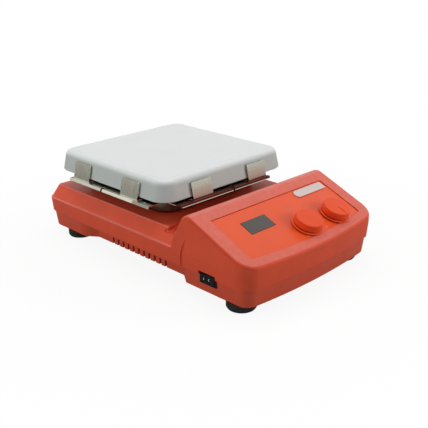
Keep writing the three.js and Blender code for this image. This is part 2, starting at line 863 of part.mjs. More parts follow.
function temperatureSensor() {
  const flangeTop = clampZ - seatGap;
  const flange = [flangeTop - sensorFlangeThickness, flangeTop];
  const body = disc(sensorFlangeRadius, flange, sensorOffset, plateY, smallSides);
  const stem = disc(sensorRadius, [flange[0], plateUnderZ - seatGap], sensorOffset, plateY, smallSides);
  return join(body, stem);
}

// Heat shield: a pan on the deck, four wings with turned edges and eight spring tabs
const panFloorZ = deckZ + seatGap;

function turnedQuarter(solid, quarter) {
  const geometry = geometryOf(solid);
  geometry.translate(0, -plateY, 0);
  geometry.rotateZ(quarter * Math.PI / 2);
  geometry.translate(0, plateY, 0);
  return solidOf(geometry);
}

// One spring tab, drawn on the +X side, standing on the wing beside the skirt
function springTab(along) {
  const rootZ = shieldZ - sheet;
  const topZ = rootZ + tabHeight;
  const rootX = skirtHalf(rootZ) + tabGap;
  const topX = skirtHalf(topZ) + tabGap;
  const limits = [along - tabWidth / 2, along + tabWidth / 2];
  const corners = [[rootX, rootZ], [rootX + sheet, rootZ], [topX + sheet, topZ], [topX, topZ]];
  const settings = { depth: limits[1] - limits[0], bevelEnabled: false };
  const geometry = new THREE.ExtrudeGeometry(shapeOf(corners), settings);
  geometry.rotateX(Math.PI / 2);
  geometry.translate(0, plateY + limits[1], 0);
  return solidOf(geometry);
}

function tabReliefs(along) {
  const rootX = skirtHalf(shieldZ) + tabGap;
  return [-1, 1].map((side) => {
    const y = plateY + along + side * (tabWidth + reliefWidth) / 2;
    return block(
      [rootX + sheet - reliefLength, rootX + sheet], [y - reliefWidth / 2, y + reliefWidth / 2],
      [shieldZ - sheet - overrun, shieldZ + overrun]);
  });
}

// One wing on the +X side, longer towards one end, with a sloping lip, a notch and its two tabs
function shieldWing(longEnd) {
  const inner = panWidth / 2 - panCorner;
  const bendX = wingReach - lipRun;
  const slope = Math.atan2(lipDrop, lipRun);
  const profile = [
    [inner, shieldZ - sheet], [bendX - sheet * Math.tan(slope / 2), shieldZ - sheet],
    [wingReach - sheet * Math.sin(slope), shieldZ - lipDrop - sheet * Math.cos(slope)],
    [wingReach, shieldZ - lipDrop], [bendX, shieldZ], [inner, shieldZ],
  ];
  const depth = wingLong + wingShort;
  const geometry = new THREE.ExtrudeGeometry(shapeOf(profile), { depth, bevelEnabled: false });
  geometry.rotateX(Math.PI / 2);
  geometry.translate(0, plateY + (longEnd > 0 ? wingLong : wingShort), 0);
  const notch = block(
    [wingReach - wingNotchLength, wingReach + overrun],
    [plateY - wingNotchWidth / 2, plateY + wingNotchWidth / 2],
    [shieldZ - lipDrop - sheet - overrun, shieldZ + overrun]);
  const places = [-tabSpacing / 2, tabSpacing / 2];
  return join(cut(solidOf(geometry), notch, ...places.flatMap(tabReliefs)), ...places.map(springTab));
}

function heatShield() {
  const wings = [1, -1, 1, -1].map((longEnd, quarter) => turnedQuarter(shieldWing(longEnd), quarter));
  const pan = slab(roundedRect(panWidth / 2, panWidth / 2, panCorner, 0, plateY), [panFloorZ, shieldZ]);
  const room = slab(
    roundedRect(panWidth / 2 - sheet, panWidth / 2 - sheet, panCorner - sheet, 0, plateY),
    [panFloorZ + sheet, shieldZ + overrun]);
  const through = [panFloorZ - overrun, panFloorZ + sheet + overrun];
  const postHoles = postPlaces.map(([, x, y]) => disc(postRadius + seatGap, through, x, y, roundSides));
  const shaftHole = disc(deckHoleRadius, through, 0, plateY);
  return cut(join(pan, ...wings), room, shaftHole, ...postHoles);
}

function insulationBoard() {
  const half = panWidth / 2 - sheet - runningGap;
  const low = panFloorZ + sheet + seatGap;
  const board = slab(roundedRect(half, half, panCorner - sheet, 0, plateY), [low, low + insulationThickness]);
  const through = [low - overrun, low + insulationThickness + overrun];
  const postHoles = postPlaces.map(([, x, y]) => disc(postRadius + seatGap, through, x, y, roundSides));
  return cut(board, disc(clampHole, through, 0, plateY, fineSides), ...postHoles);
}

function addPlatePosts() {
  const postTop = clampZ - seatGap;
  for (const [place, x, y] of postPlaces) {
    const post = ring(plateScrewRadius + seatGap, postRadius, [deckZ + seatGap, postTop], x, y, smallSides);
    addPiece(`plate_post_${place}`, post, stainless);
    const headTop = bracketZ - seatGap;
    const fastener = screw(
      plateScrewHeadRadius, [headTop - plateScrewHeadHeight, headTop], plateScrewRadius,
      heaterZ + plateScrewThread, x, y);
    addPiece(`plate_screw_${place}`, fastener, zincSteel);
  }
}

// Stirring motor, hung under its bracket
const motorTopZ = bracketZ - seatGap;
const motorLowZ = motorTopZ - motorLength;
const neckTopZ = deckZ - seatGap;
const upperBearingZ = neckTopZ - neckTopWall - seatGap - bearingWidth;
const capTopZ = motorLowZ + motorWall;
const lowerBearingZ = capTopZ + seatGap;
const coilZ = (motorLowZ + motorTopZ) / 2 - coilLength / 2;
const coilOuter = motorRadius - motorWall - seatGap;
const coilInner = coilOuter - coilThickness;
const holderZ = shieldZ + holderRise;
const shaftTopZ = holderZ + holderHeight - seatGap;

function motorBracket() {
  const half = clampSide / 2;
  const limits = [bracketZ, bracketZ + bracketThickness];
  const plate = slab(roundedRect(half, half, clampCorner, 0, plateY), limits);
  const through = [bracketZ - overrun, bracketZ + bracketThickness + overrun];
  const holes = postPlaces.map(([, x, y]) => disc(plateScrewRadius + seatGap, through, x, y, smallSides));
  return cut(plate, disc(neckRadius + seatGap, through, 0, plateY), ...holes);
}

function motorHousing() {
  const inner = motorRadius - motorWall;
  const pocket = bearingRadius + seatGap;
  const pocketTop = neckTopZ - neckTopWall;
  const hole = shaftRadius + runningGap;
  return turned([
    [inner, motorLowZ], [motorRadius, motorLowZ], [motorRadius, motorTopZ], [neckRadius, motorTopZ],
    [neckRadius, neckTopZ], [hole, neckTopZ], [hole, pocketTop], [pocket, pocketTop],
    [pocket, motorTopZ - motorWall], [inner, motorTopZ - motorWall], [inner, motorLowZ],
  ], 0, plateY);
}

function motorEndCap() {
  const outer = motorRadius - motorWall - seatGap;
  const cupOuter = bearingRadius + seatGap + cupWall;
  const cupTop = lowerBearingZ + bearingWidth;
  const pocket = bearingRadius + seatGap;
  return turned([
    [0, motorLowZ], [outer, motorLowZ], [outer, capTopZ], [cupOuter, capTopZ], [cupOuter, cupTop],
    [pocket, cupTop], [pocket, capTopZ], [0, capTopZ],
  ], 0, plateY);
}

function bearing(z) {
  return ring(shaftRadius + seatGap, bearingRadius, [z, z + bearingWidth], 0, plateY, roundSides);
}

function magnetHolder() {
  const limits = [holderZ, holderZ + holderHeight];
  const body = slab(
    roundedRect(holderLength / 2, holderWidth / 2, holderWidth / 2 - tightestCorner, 0, plateY), limits);
  const pockets = [-1, 1].map((side) => disc(
    magnetRadius + seatGap, [holderZ + holderFloor, holderZ + holderHeight + overrun],
    side * magnetSpacing / 2, plateY, roundSides));
  const bore = disc(
    shaftRadius + seatGap, [holderZ - overrun, holderZ + holderHeight + overrun], 0, plateY, smallSides);
  return cut(body, bore, ...pockets);
}

function magnet(side) {
  const low = holderZ + holderFloor + seatGap;
  return disc(
    magnetRadius, [low, holderZ + holderHeight - seatGap], side * magnetSpacing / 2, plateY, roundSides);
}

function addDrive() {
  addPiece('motor_bracket', motorBracket(), zincSteel);
  addPiece('motor_housing', motorHousing(), castGrey);
  addPiece('motor_end_cap', motorEndCap(), castGrey);
  const nutLimits = [deckUnderZ, neckTopZ];
  addPiece('motor_ring_nut', ring(neckRadius + seatGap, ringNutRadius, nutLimits, 0, plateY), zincSteel);
  addPiece('upper_bearing', bearing(upperBearingZ), greySteel);
  addPiece('lower_bearing', bearing(lowerBearingZ), greySteel);
  addPiece('stator_coil', ring(coilInner, coilOuter, [coilZ, coilZ + coilLength], 0, plateY), copperWire);
  const shaftLow = capTopZ + seatGap;
  addPiece('motor_shaft', disc(shaftRadius, [shaftLow, shaftTopZ], 0, plateY, roundSides), greySteel);
  const rotorLow = (motorLowZ + motorTopZ) / 2 - rotorLength / 2;
  const rotor = ring(
    shaftRadius + seatGap, coilInner - airGap, [rotorLow, rotorLow + rotorLength], 0, plateY);
  addPiece('motor_rotor', rotor, greySteel);
  addPiece('magnet_holder', magnetHolder(), castGrey);
  addPiece('left_magnet', magnet(-1), paleSilver);
  addPiece('right_magnet', magnet(1), paleSilver);
}

// Overlay, display, label and the board behind the panel
function controlOverlay() {
  const sheetBody = slab(overlayShape(seatGap), [overlayUnderN, overlayTopN]);
  const through = [overlayUnderN - overrun, overlayTopN + overrun];
  const holes = [heatKnobX, stirKnobX].map(
    (x) => disc(encoderBushRadius + seatGap, through, x, knobRun, smallSides));
  return cut(sheetBody, displayBox(seatGap, through), ...holes);
}

function displayModule() {
  const halfX = displayWidth / 2 + displayModuleBorder;
  const halfY = displayHeight / 2 + displayModuleBorder;
  return block(
    [displayX - halfX, displayX + halfX], [displayRun - halfY, displayRun + halfY],
    [boardTopN + seatGap, encoderTopN]);
}

function labelPlate() {
  const right = sideX - overlaySideMargin - labelRight;
  const high = overlayTopRun - labelTop;
  const left = right - labelWidth;
  const low = high - labelHeight;
  const radius = labelHeight / 2;
  const outline = [
    [right, low], [right, high],
    ...arcPoints(left + radius, low + radius, radius, Math.PI / 2, 1.5 * Math.PI, 2 * cornerSteps),
  ];
  const under = overlayTopN + seatGap;
  return slab(shapeOf(outline), [under, under + labelThickness]);
}

function controlBoard() {
  return block(
    [-controlBoardWidth / 2, controlBoardWidth / 2], [controlBoardFront, controlBoardBack],
    [boardTopN - boardThickness, boardTopN]);
}

// Rotary encoder with its bush, its inner rotor and the shaft that turns and presses
const rotorRadius = encoderSide / 2 - encoderWall - seatGap;
const encoderCavityTop = encoderTopN - encoderWall;
const encoderRotorN = encoderCavityTop - seatGap - encoderRotorHeight;

function encoderBody(x) {
  const half = encoderSide / 2;
  const body = block([x - half, x + half], [knobRun - half, knobRun + half], [encoderUnderN, encoderTopN]);
  const bush = disc(encoderBushRadius, [encoderTopN - encoderWall, bushTopN], x, knobRun);
  const bore = disc(
    encoderShaftRadius + seatGap, [encoderUnderN, bushTopN + overrun], x, knobRun, smallSides);
  const cavity = disc(
    half - encoderWall, [encoderUnderN - overrun, encoderCavityTop], x, knobRun, roundSides);
  return cut(join(body, bush), bore, cavity);
}

function encoderRotor(x) {
  const limits = [encoderRotorN, encoderRotorN + encoderRotorHeight];
  return ring(encoderShaftRadius + seatGap, rotorRadius, limits, x, knobRun, smallSides);
}

function encoderShaft(x) {
  const low = encoderUnderN + pressTravel + seatGap;
  return disc(encoderShaftRadius, [low, shaftTopN], x, knobRun, smallSides);
}

// A pale ring under the knob, whose foot stands on the overlay and whose rim clears the panel
function knobCollar(x) {
  const bore = encoderBushRadius + seatGap;
  return turned([
    [bore, collarUnderN], [collarFootRadius, collarUnderN], [collarFootRadius, seatGap],
    [collarRadius, seatGap], [collarRadius, collarTopN], [bore, collarTopN], [bore, collarUnderN],
  ], x, knobRun);
}

function knob(x, hasPointer) {
  const cavityRadius = knobRadius - knobWall;
  const hubLow = bushTopN + seatGap + pressTravel;
  const body = turned([
    [cavityRadius, knobUnderN], [knobRadius, knobUnderN], [knobRadius, knobTopN - knobEdge],
    [knobRadius - knobEdge, knobTopN], [0, knobTopN], [0, knobCavityN], [cavityRadius, knobCavityN],
    [cavityRadius, knobUnderN],
  ], x, knobRun);
  const hub = disc(hubRadius, [hubLow, knobCavityN + knobTop / 2], x, knobRun, roundSides);
  const bore = disc(
    encoderShaftRadius + seatGap, [hubLow - overrun, knobCavityN], x, knobRun, smallSides);
  const solid = cut(join(body, hub), bore);
  return hasPointer ? cut(solid, pointerGroove(x)) : solid;
}

// A short groove on the knob's face, pointing down the slope
function pointerGroove(x) {
  const outerEnd = knobRun - knobRadius + knobEdge + pointerInset;
  return block(
    [x - pointerWidth / 2, x + pointerWidth / 2], [outerEnd, outerEnd + pointerLength],
    [knobTopN - pointerDepth, knobTopN + overrun]);
}

function addControls() {
  addPiece('control_overlay', controlOverlay(), overlayOrange, controlPanel);
  addPiece('display_window', displayBox(0, [overlayUnderN, overlayTopN]), darkGlass, controlPanel);
  addPiece('display_module', displayModule(), blackPlastic, controlPanel);
  addPiece('label_plate', labelPlate(), paleSilver, controlPanel);
  addPiece('control_board', controlBoard(), boardGreen, controlPanel);
  for (const [name, x, hasPointer] of [['heat', heatKnobX, false], ['stir', stirKnobX, true]]) {
    addPiece(`${name}_knob_collar`, knobCollar(x), knobOrange, controlPanel);
    addPiece(`${name}_encoder`, encoderBody(x), greySteel, controlPanel);
    addPiece(`${name}_encoder_rotor`, encoderRotor(x), blackPlastic, controlPanel);
    addPiece(`${name}_encoder_shaft`, encoderShaft(x), greySteel, controlPanel);
    addPiece(`${name}_knob`, knob(x, hasPointer), knobOrange, controlPanel);
  }
}

// Power switch: a frame in the side wall and a rocker that turns about a vertical axis
const frameOuterX = switchSeatX - seatGap - switchFlange;
const rockerPivotX = switchSeatX;

function switchFrame() {
  const halfY = switchLength / 2;
  const halfZ = switchHeight / 2;
  const seatX = switchSeatX - seatGap;
  const flange = block(
    [frameOuterX, seatX], [switchY - halfY, switchY + halfY], [switchZ - halfZ, switchZ + halfZ]);
  const bodyY = halfY - switchRim - seatGap;
  const bodyZ = halfZ - switchRim - seatGap;
  const body = block(
    [seatX - switchFlange / 2, seatX + switchBodyDepth], [switchY - bodyY, switchY + bodyY],
    [switchZ - bodyZ, switchZ + bodyZ]);
  const roomY = bodyY - switchRim / 2;
  const roomZ = bodyZ - switchRim / 2;
  const room = block(
    [frameOuterX - overrun, seatX + switchBodyDepth - switchRim], [switchY - roomY, switchY + roomY],
    [switchZ - roomZ, switchZ + roomZ]);
  return cut(join(flange, body), room);
}

// The rocker at rest is pressed in at its front end, which is off
function switchRocker() {
  const halfY = switchLength / 2 - switchRim * 1.5 - seatGap - runningGap;
  const halfZ = switchHeight / 2 - switchRim * 1.5 - seatGap - runningGap;
  const rise = halfY * Math.tan(rockerTilt);
  const outline = [
    [rockerThickness / 2, -halfY * Math.cos(rockerTilt)], [rockerThickness / 2, halfY * Math.cos(rockerTilt)],
    [-rockerThickness / 2 - rise, halfY], [-rockerThickness / 2, 0], [-rockerThickness / 2 - rise, -halfY],
  ];
  const settings = { depth: 2 * halfZ, bevelEnabled: false };
  const geometry = new THREE.ExtrudeGeometry(shapeOf(outline), settings);
  geometry.rotateZ(rockerTilt);
  geometry.translate(rockerPivotX, switchY, switchZ - halfZ);
  return solidOf(geometry);
}

// Power inlet with three pins, and the fuse drawer below them
const inletTopZ = windowZ + (rearWindowHeight + inletHeight) / 2;
const inletLowZ = inletTopZ - inletHeight;
const inletFaceY = rearFaceY + inletFlange;
const socketTopZ = inletTopZ - inletTopWall;
const socketLowZ = socketTopZ - socketHeight;
const drawerTopZ = socketLowZ - inletTopWall;
const drawerLowZ = drawerTopZ - drawerHeight;

function powerInlet() {
  const half = inletWidth / 2;
  const bodyHalf = half - inletSideWall / 2;
  const face = inletFaceY;
  const flange = block([inletX - half, inletX + half], [face - inletFlange, face], [inletLowZ, inletTopZ]);
  const body = block(
    [inletX - bodyHalf, inletX + bodyHalf], [face - inletBodyDepth, face - inletFlange / 2],
    [inletLowZ + inletTopWall / 2, inletTopZ - inletTopWall / 2]);
  const socketHalf = bodyHalf - inletSideWall;
  const socket = block(
    [inletX - socketHalf, inletX + socketHalf], [face - socketDepth, face + overrun],
    [socketLowZ, socketTopZ]);
  const drawerRoom = block(
    [inletX - socketHalf - seatGap, inletX + socketHalf + seatGap],
    [face - drawerDepth - runningGap, face + overrun], [drawerLowZ - seatGap, drawerTopZ + seatGap]);
  const pinMiddle = (socketLowZ + socketTopZ) / 2;
  const pins = [[-1, -pinRise], [0, pinRise], [1, -pinRise]].map(([side, rise]) => block(
    [inletX + side * pinSpacing - pinThickness / 2, inletX + side * pinSpacing + pinThickness / 2],
    [face - socketDepth - inletSideWall / 2, face - socketDepth + pinLength],
    [pinMiddle + rise - pinWidth / 2, pinMiddle + rise + pinWidth / 2]));
  return join(cut(join(flange, body), socket, drawerRoom), ...pins);
}

function fuseDrawer() {
  const half = inletWidth / 2 - 1.5 * inletSideWall;
  const face = inletFaceY;
  const box = block([inletX - half, inletX + half], [face - drawerDepth, face], [drawerLowZ, drawerTopZ]);
  const room = block(
    [inletX - half + drawerFace, inletX + half - drawerFace],
    [face - drawerDepth + drawerFace, face - drawerFace], [drawerLowZ + drawerFace, drawerTopZ + overrun]);
  const grip = block(
    [inletX - half / 2, inletX + half / 2], [face - drawerFace / 2, face + drawerFace],
    [drawerLowZ, drawerLowZ + drawerFace]);
  return join(cut(box, room), grip);
}

function rearPanel() {
  const front = rearPanelY;
  const limits = [floorZ + seatGap, floorZ + rearPanelHeight];
  const plate = block([-rearPanelWidth / 2, rearPanelWidth / 2], [front - rearPanelThickness, front], limits);
  const through = [front - rearPanelThickness - overrun, front + overrun];
  const inletHalf = inletWidth / 2 - inletSideWall / 2 + seatGap;
  const inletHole = block(
    [inletX - inletHalf, inletX + inletHalf], through,
    [inletLowZ + inletTopWall / 2 - seatGap, inletTopZ - inletTopWall / 2 + seatGap]);
  const serialHole = block(
    [serialX - serialShellWidth / 2 - seatGap, serialX + serialShellWidth / 2 + seatGap], through,
    [socketRowZ - serialShellHeight / 2 - seatGap, socketRowZ + serialShellHeight / 2 + seatGap]);
  const probeHole = rod(probeBodyRadius + seatGap, through, probeX, socketRowZ);
  return cut(plate, inletHole, serialHole, probeHole);
}

function serialSocket() {
  const z = socketRowZ;
  const flange = block(
    [serialX - serialWidth / 2, serialX + serialWidth / 2], [rearFaceY, rearFaceY + sheet],
    [z - serialHeight / 2, z + serialHeight / 2]);
  const shell = block(
    [serialX - serialShellWidth / 2, serialX + serialShellWidth / 2],
    [rearPanelY - serialBodyDepth, rearFaceY + serialShellDepth],
    [z - serialShellHeight / 2, z + serialShellHeight / 2]);
  return join(flange, shell);
}

function probeSocket() {
  const z = socketRowZ;
  const face = inletFaceY;
  const flange = rod(probeRadius, [rearFaceY, face], probeX, z);
  const body = rod(probeBodyRadius, [rearPanelY - probeBodyDepth, face - inletFlange / 2], probeX, z);
  const mouth = rod(probeHoleRadius, [face - probeHoleDepth, face + overrun], probeX, z, smallSides);
  return cut(join(flange, body), mouth);
}

function addRearSockets() {
  addPiece('rear_panel', rearPanel(), zincSteel);
  addPiece('power_inlet', powerInlet(), blackPlastic);
  addPiece('fuse_drawer', fuseDrawer(), blackPlastic);
  addPiece('serial_socket', serialSocket(), stainless);
  addPiece('probe_socket', probeSocket(), blackPlastic);
}

// Power board and its transformer, in the base under the head
function addPowerSupply() {
  const boardLimits = [powerBoardZ, powerBoardZ + boardThickness];
  addPiece('power_board', block(powerBoardLimits.x, powerBoardLimits.y, boardLimits), boardGreen);
  addPiece('transformer', transformer(powerBoardZ + boardThickness + seatGap), greySteel);
}

function transformer(low) {
  const y = (powerBoardLimits.y[0] + powerBoardLimits.y[1]) / 2;
  const halfX = transformerWidth / 2;
  const halfY = transformerDepth / 2;
  const core = block(
    [transformerX - halfX, transformerX + halfX], [y - halfY + windingInset, y + halfY - windingInset],
    [low, low + transformerHeight]);
  const winding = block(
    [transformerX - halfX + windingInset, transformerX + halfX - windingInset], [y - halfY, y + halfY],
    [low + transformerBase, low + transformerHeight - transformerBase]);
  return join(core, winding);
}

addPiece('upper_housing', upperHousing(), housingPaint);
addPiece('base_cover', baseCover(), basePaint);
addFeet();
addPiece('top_plate', topPlate(), plateCeramic);
addPiece('heating_element', heatingElement(), castGrey);
addPiece('heater_clamp', heaterClamp(), stainless);
addPiece('temperature_sensor', temperatureSensor(), brassMetal);
addPiece('heat_shield', heatShield(), stainless);
addPiece('insulation_board', insulationBoard(), woolWhite);
addPlatePosts();
addDrive();
addControls();
addPiece('switch_frame', switchFrame(), blackPlastic);
addPiece('switch_rocker', switchRocker(), blackPlastic);
addRearSockets();
addPowerSupply();

export default stirrer;
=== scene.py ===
"""Heated magnetic stirrer: the finished look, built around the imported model, in metres, +Z up."""

import json
import math

import bmesh
import bpy
from mathutils import Matrix, Vector


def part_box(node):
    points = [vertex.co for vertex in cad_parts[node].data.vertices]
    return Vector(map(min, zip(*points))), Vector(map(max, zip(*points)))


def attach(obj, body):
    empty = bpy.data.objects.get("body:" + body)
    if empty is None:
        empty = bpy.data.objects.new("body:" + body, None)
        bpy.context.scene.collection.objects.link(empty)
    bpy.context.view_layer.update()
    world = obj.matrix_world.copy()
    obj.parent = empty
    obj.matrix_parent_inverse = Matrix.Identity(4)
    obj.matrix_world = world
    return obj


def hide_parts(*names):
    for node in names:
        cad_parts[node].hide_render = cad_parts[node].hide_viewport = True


bl_info = {
    "name": "Heated Magnetic Stirrer",
    "version": (1, 0, 0),
    "blender": (4, 5, 0),
    "location": "View3D > Sidebar > Stirrer",
    "description": "Builds a heated magnetic stirrer with its housing, plate, shield, controls and sockets",
    "category": "Add Mesh",
}

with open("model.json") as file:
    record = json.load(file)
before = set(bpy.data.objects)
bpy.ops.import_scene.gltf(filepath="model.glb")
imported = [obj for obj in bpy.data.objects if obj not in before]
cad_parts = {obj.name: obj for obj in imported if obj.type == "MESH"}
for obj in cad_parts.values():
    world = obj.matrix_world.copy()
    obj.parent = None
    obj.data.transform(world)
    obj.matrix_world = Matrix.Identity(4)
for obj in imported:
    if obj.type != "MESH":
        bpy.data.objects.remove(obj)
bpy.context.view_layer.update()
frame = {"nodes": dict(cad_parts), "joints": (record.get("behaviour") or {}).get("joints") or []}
JOINTS = {joint["name"]: joint for joint in frame["joints"]}
FINISHES = {}

# Places read from the frame
HOUSING_LOW, HOUSING_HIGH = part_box("upper_housing")
PLATE_LOW, PLATE_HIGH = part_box("top_plate")
SHIELD_LOW, SHIELD_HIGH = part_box("heat_shield")
BASE_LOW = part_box("base_cover")[0]
REAR_LOW, REAR_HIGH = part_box("rear_panel")
INLET_LOW, INLET_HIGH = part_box("power_inlet")
HALF = HOUSING_HIGH.x
FRONT = HOUSING_LOW.y
REAR = HOUSING_HIGH.y
PLATE_Y = (PLATE_LOW.y + PLATE_HIGH.y) / 2
TILT = math.atan2(-JOINTS["heat_turn"]["axis"][1], JOINTS["heat_turn"]["axis"][2])

# Clearances, roundings, holes and counts shared by the pieces
SEAT = 0.0003
OVERRUN = 0.002
CRISP = 0.0001
EASED = 0.0002
MERGE = 1e-7
BUSH_HOLE = 0.0045
NECK_HOLE = 0.0155
FULL = 2 * math.pi
QUARTER = math.pi / 2
SMOOTH_ANGLE = math.radians(35)
SIDES = 96
FILLET_STEPS = 6
SIGNS = (-1, 1)
ORIGIN = Vector((0, 0, 0))
UP = Vector((0, 0, 1))
KNOBS = ("heat", "stir")

# Where most of a noise's values lie, where its middle ones do, and where stains begin and end
MOST = (0.3, 0.7)
MIDDLE = (0.35, 0.65)
STAINS = (0.4, 0.7)

# The Mix node's sockets for colours: factor, first and second colour, and the result
MIX_INPUTS = (0, 6, 7)
MIX_OUTPUT = 2

# The light that the backdrop sends, and each lamp's place, target, width, watts and whether it is mirrored
WHITE = (1.0, 1.0, 1.0)
LAMPS = {
    "overhead": ((0.1, 0.15, 1.5), (0.0, 0.02, 0.05), 1.3, 8.6, True),
    "front_fill": ((0.9, -1.3, 0.55), (0.0, 0.0, 0.05), 0.8, 12.0, False),
    "left_fill": ((-1.4, 0.5, 0.5), (0.0, 0.0, 0.05), 0.8, 8.4, False),
}


def linear(red, green, blue):
    """A colour given as screen values from 0 to 255, made linear."""
    toe, toe_slope, offset, power = 0.04045, 12.92, 0.055, 2.4
    shares = (value / 255 for value in (red, green, blue))
    return tuple(
        share / toe_slope if share <= toe else ((share + offset) / (1 + offset)) ** power
        for share in shares)


def length(name, default, description):
    """A length that the sidebar shows."""
    return bpy.props.FloatProperty(
        name=name, default=default, description=description, unit="LENGTH", precision=4, min=0.0)


def angle(name, default, description):
    """An angle that the sidebar shows."""
    return bpy.props.FloatProperty(
        name=name, default=default, description=description, subtype="ANGLE")


def colour(name, red, green, blue, description):
    """A colour that the sidebar shows."""
    return bpy.props.FloatVectorProperty(
        name=name, default=linear(red, green, blue), description=description, subtype="COLOR",
        min=0.0, max=1.0)


class HousingSizes(bpy.types.PropertyGroup):
    """Sizes of the two housing shells"""
    parting: length("Parting height", 0.030, "Height of the seam between the two shells")
    belt: length("Belt height", 0.0475, "Height of the widest line of the housing")
    deck: length("Deck height", 0.0635, "Height of the flat deck under the plate")
    deck_inset: length("Deck inset", 0.0117, "How far the deck's edge stands in from the belt")
    draft: length("Band draft", 0.0015, "How far the band under the belt draws in")
    rear_corner: length("Rear corner", 0.014, "Radius of the rear corners")
    front_corner: length("Front corner", 0.019, "Radius of the front corners")
    bow: length("Front bow", 0.0075, "How far the front face bows out in the middle")
    wall: length("Wall", 0.003, "Wall thickness of both shells")
    edge: length("Panel edge height", 0.0532, "Height of the panel's front edge in the middle")
    head_length: length("Head length", 0.11652, "Length of the control head along the housing")
    back_lean: length("Head back lean", 0.0017, "Run from the head's rear to the foot of its back slope")
    back_tilt: angle("Head back tilt", math.radians(59), "Slope of the head's back")
    ridge: length("Ridge radius", 0.012, "Radius of the ridge over the control head")
    rim: length("Panel rim radius", 0.002, "Rounding between the panel and the head's walls")
    crease_depth: length("Crease depth", 0.0016, "Depth of the fine groove under the panel rim")
    crease_drop: length("Crease drop", 0.0021, "How far the fine groove lies under the panel")
    crease_height: length("Crease height", 0.0013, "Height of the fine groove")
    seam: length("Side seam", 0.0019, "Radius of the curved groove in each side")
    seam_depth: length("Side seam depth", 0.0016, "Depth of the curved groove in each side")
    seam_sweep: length("Side seam sweep", 0.0508, "Radius that the curved groove follows")
    seam_ahead: length("Side seam middle", 0.05011, "From the front to the curved groove's middle")
    seam_rise: length("Side seam height", 0.0329, "Height of the curved groove's middle")
    groove_width: length("Groove width", 0.014, "Width of the groove between head and deck")
    groove_corner: length("Groove corner", 0.004, "Radius of the deck's front corners")
    groove_fall: length("Groove fall", 0.0026, "How much deeper the groove is at its two ends")
    groove_foot: length("Groove foot", 0.0016, "Rounding between the deck's front and the groove's floor")
    groove_drop: length("Groove depth", 0.0056, "Depth of the groove between head and deck")
    belt_ledge: length("Belt ledge", 0.0012, "Width of the fine ledge along the belt")
    back_edge: length("Back edge", 0.003, "Rounding of the upright edges at the head's rear")
    back_round: length("Back rounding", 0.0018, "How much wider the rim's rounding is along the head's back")
    deck_round: length("Deck rounding", 0.0014, "Rounding of the deck's edge")


class BaseSizes(bpy.types.PropertyGroup):
    """Sizes of the base cover and the feet"""
    step: length("Step", 0.0035, "How far the base cover stands in from the belt at its top")
    taper: length("Taper", 0.0025, "How far the base cover draws in down to its bottom")
    bottom_round: length("Bottom rounding", 0.0028, "Rounding of the bottom edge")
    lip: length("Lip height", 0.004, "Height of the inner lip over the seam")
    lip_wall: length("Lip wall", 0.002, "Thickness of the inner lip")
    vent_inset: length("Vent inset", 0.018, "How far the vent wall stands in from the belt")
    vent_length: length("Vent length", 0.154, "Length of the vent wall")
    vent_offset: length("Vent offset", 0.0405, "How far the vents lie ahead of the plate's middle")
    vent_slope: length("Vent end run", 0.028, "Run of the slanted ends of the vent recess")
    vent_ceiling: length("Vent ceiling", 0.003, "Height left over the vent recess")
    slot_pitch: length("Slot pitch", 0.00945, "Distance from one vent slot to the next")
    slot_width: length("Slot width", 0.0030, "Width of each vent slot")
    slot_height: length("Slot height", 0.0098, "Height of each vent slot")
    foot_round: length("Foot rounding", 0.0016, "Rounding of the rubber feet")
    groove: length("Foot groove", 0.0006, "Depth of the groove round each foot")


class PlateSizes(bpy.types.PropertyGroup):
    """Sizes of the heating plate and the heat shield"""
    width: length("Plate width", 0.190, "Width of the square plate across its rounded edges")
    corner: length("Plate corner", 0.016, "Radius of the plate's corners")
    edge: length("Plate edge", 0.007, "Rounding of the plate's upper edge")
    step: length("Plate step", 0.0003, "Height of the fine step round the plate's flat face")
    thickness: length("Plate thickness", 0.008, "Thickness of the plate's face")
    flare: length("Skirt flare", 0.0052, "How far the skirt spreads towards its foot")
    skirt_wall: length("Skirt wall", 0.004, "Thickness of the skirt")
    skirt_round: length("Skirt rounding", 0.0012, "Rounding of the skirt's foot")
    clearance: length("Skirt clearance", 0.0025, "From the wings up to the skirt's foot")
    sheet: length("Sheet", 0.001, "Thickness of the shield's steel")
    pan: length("Pan width", 0.156, "Width of the shield's pan")
    pan_corner: length("Pan corner", 0.022, "Radius of the pan's corners")
    pan_bend: length("Pan bend", 0.003, "Outer radius round the pan's floor")
    wing_long: length("Long reach", 0.084, "From the middle of a side to the longer end of its wing")
    wing_short: length("Short reach", 0.062, "From the middle of a side to the shorter end of its wing")
    wing_slant: length("End slant", 0.0045, "How far the long end of a cross wing is cut back")
    notch_width: length("Notch width", 0.003, "Width of the notch in the middle of a wing")
    notch_length: length("Notch length", 0.007, "Length of the notch in the middle of a wing")
    lip_run: length("Lip run", 0.0009, "Width of each wing's sloping lip")
    lip_drop: length("Lip drop", 0.0029, "How far each wing's lip slopes down")
    bend: length("Bend radius", 0.0012, "Outer radius of the lip's bend")
    tab_spacing: length("Tab spacing", 0.089, "Distance between the two tabs of a side")
    tab_width: length("Tab width", 0.030, "Width of each spring tab")
    tab_gap: length("Tab gap", 0.0015, "From the skirt to each tab's foot")
    tab_stand: length("Tab stand", 0.003, "From the skirt to each tab's top")
    cross_run: length("Cross lip run", 0.0002, "Width of the front and rear wings' steeper lip")
    cross_stand: length("Cross tab stand", 0.0034, "From the skirt to the top of each front and rear tab")
    hem: length("Lip hem", 0.0007, "Width of the fine turned edge of the front and rear lips")
    tab_corner: length("Tab corner", 0.0022, "Radius of a tab's upper corners")
    relief_width: length("Relief width", 0.0025, "Width of the cut beside each tab")
    relief_length: length("Relief length", 0.005, "Length of the cut beside each tab")
    hole: length("Fixing hole", 0.0013, "Radius of the small holes near the wings' ends")


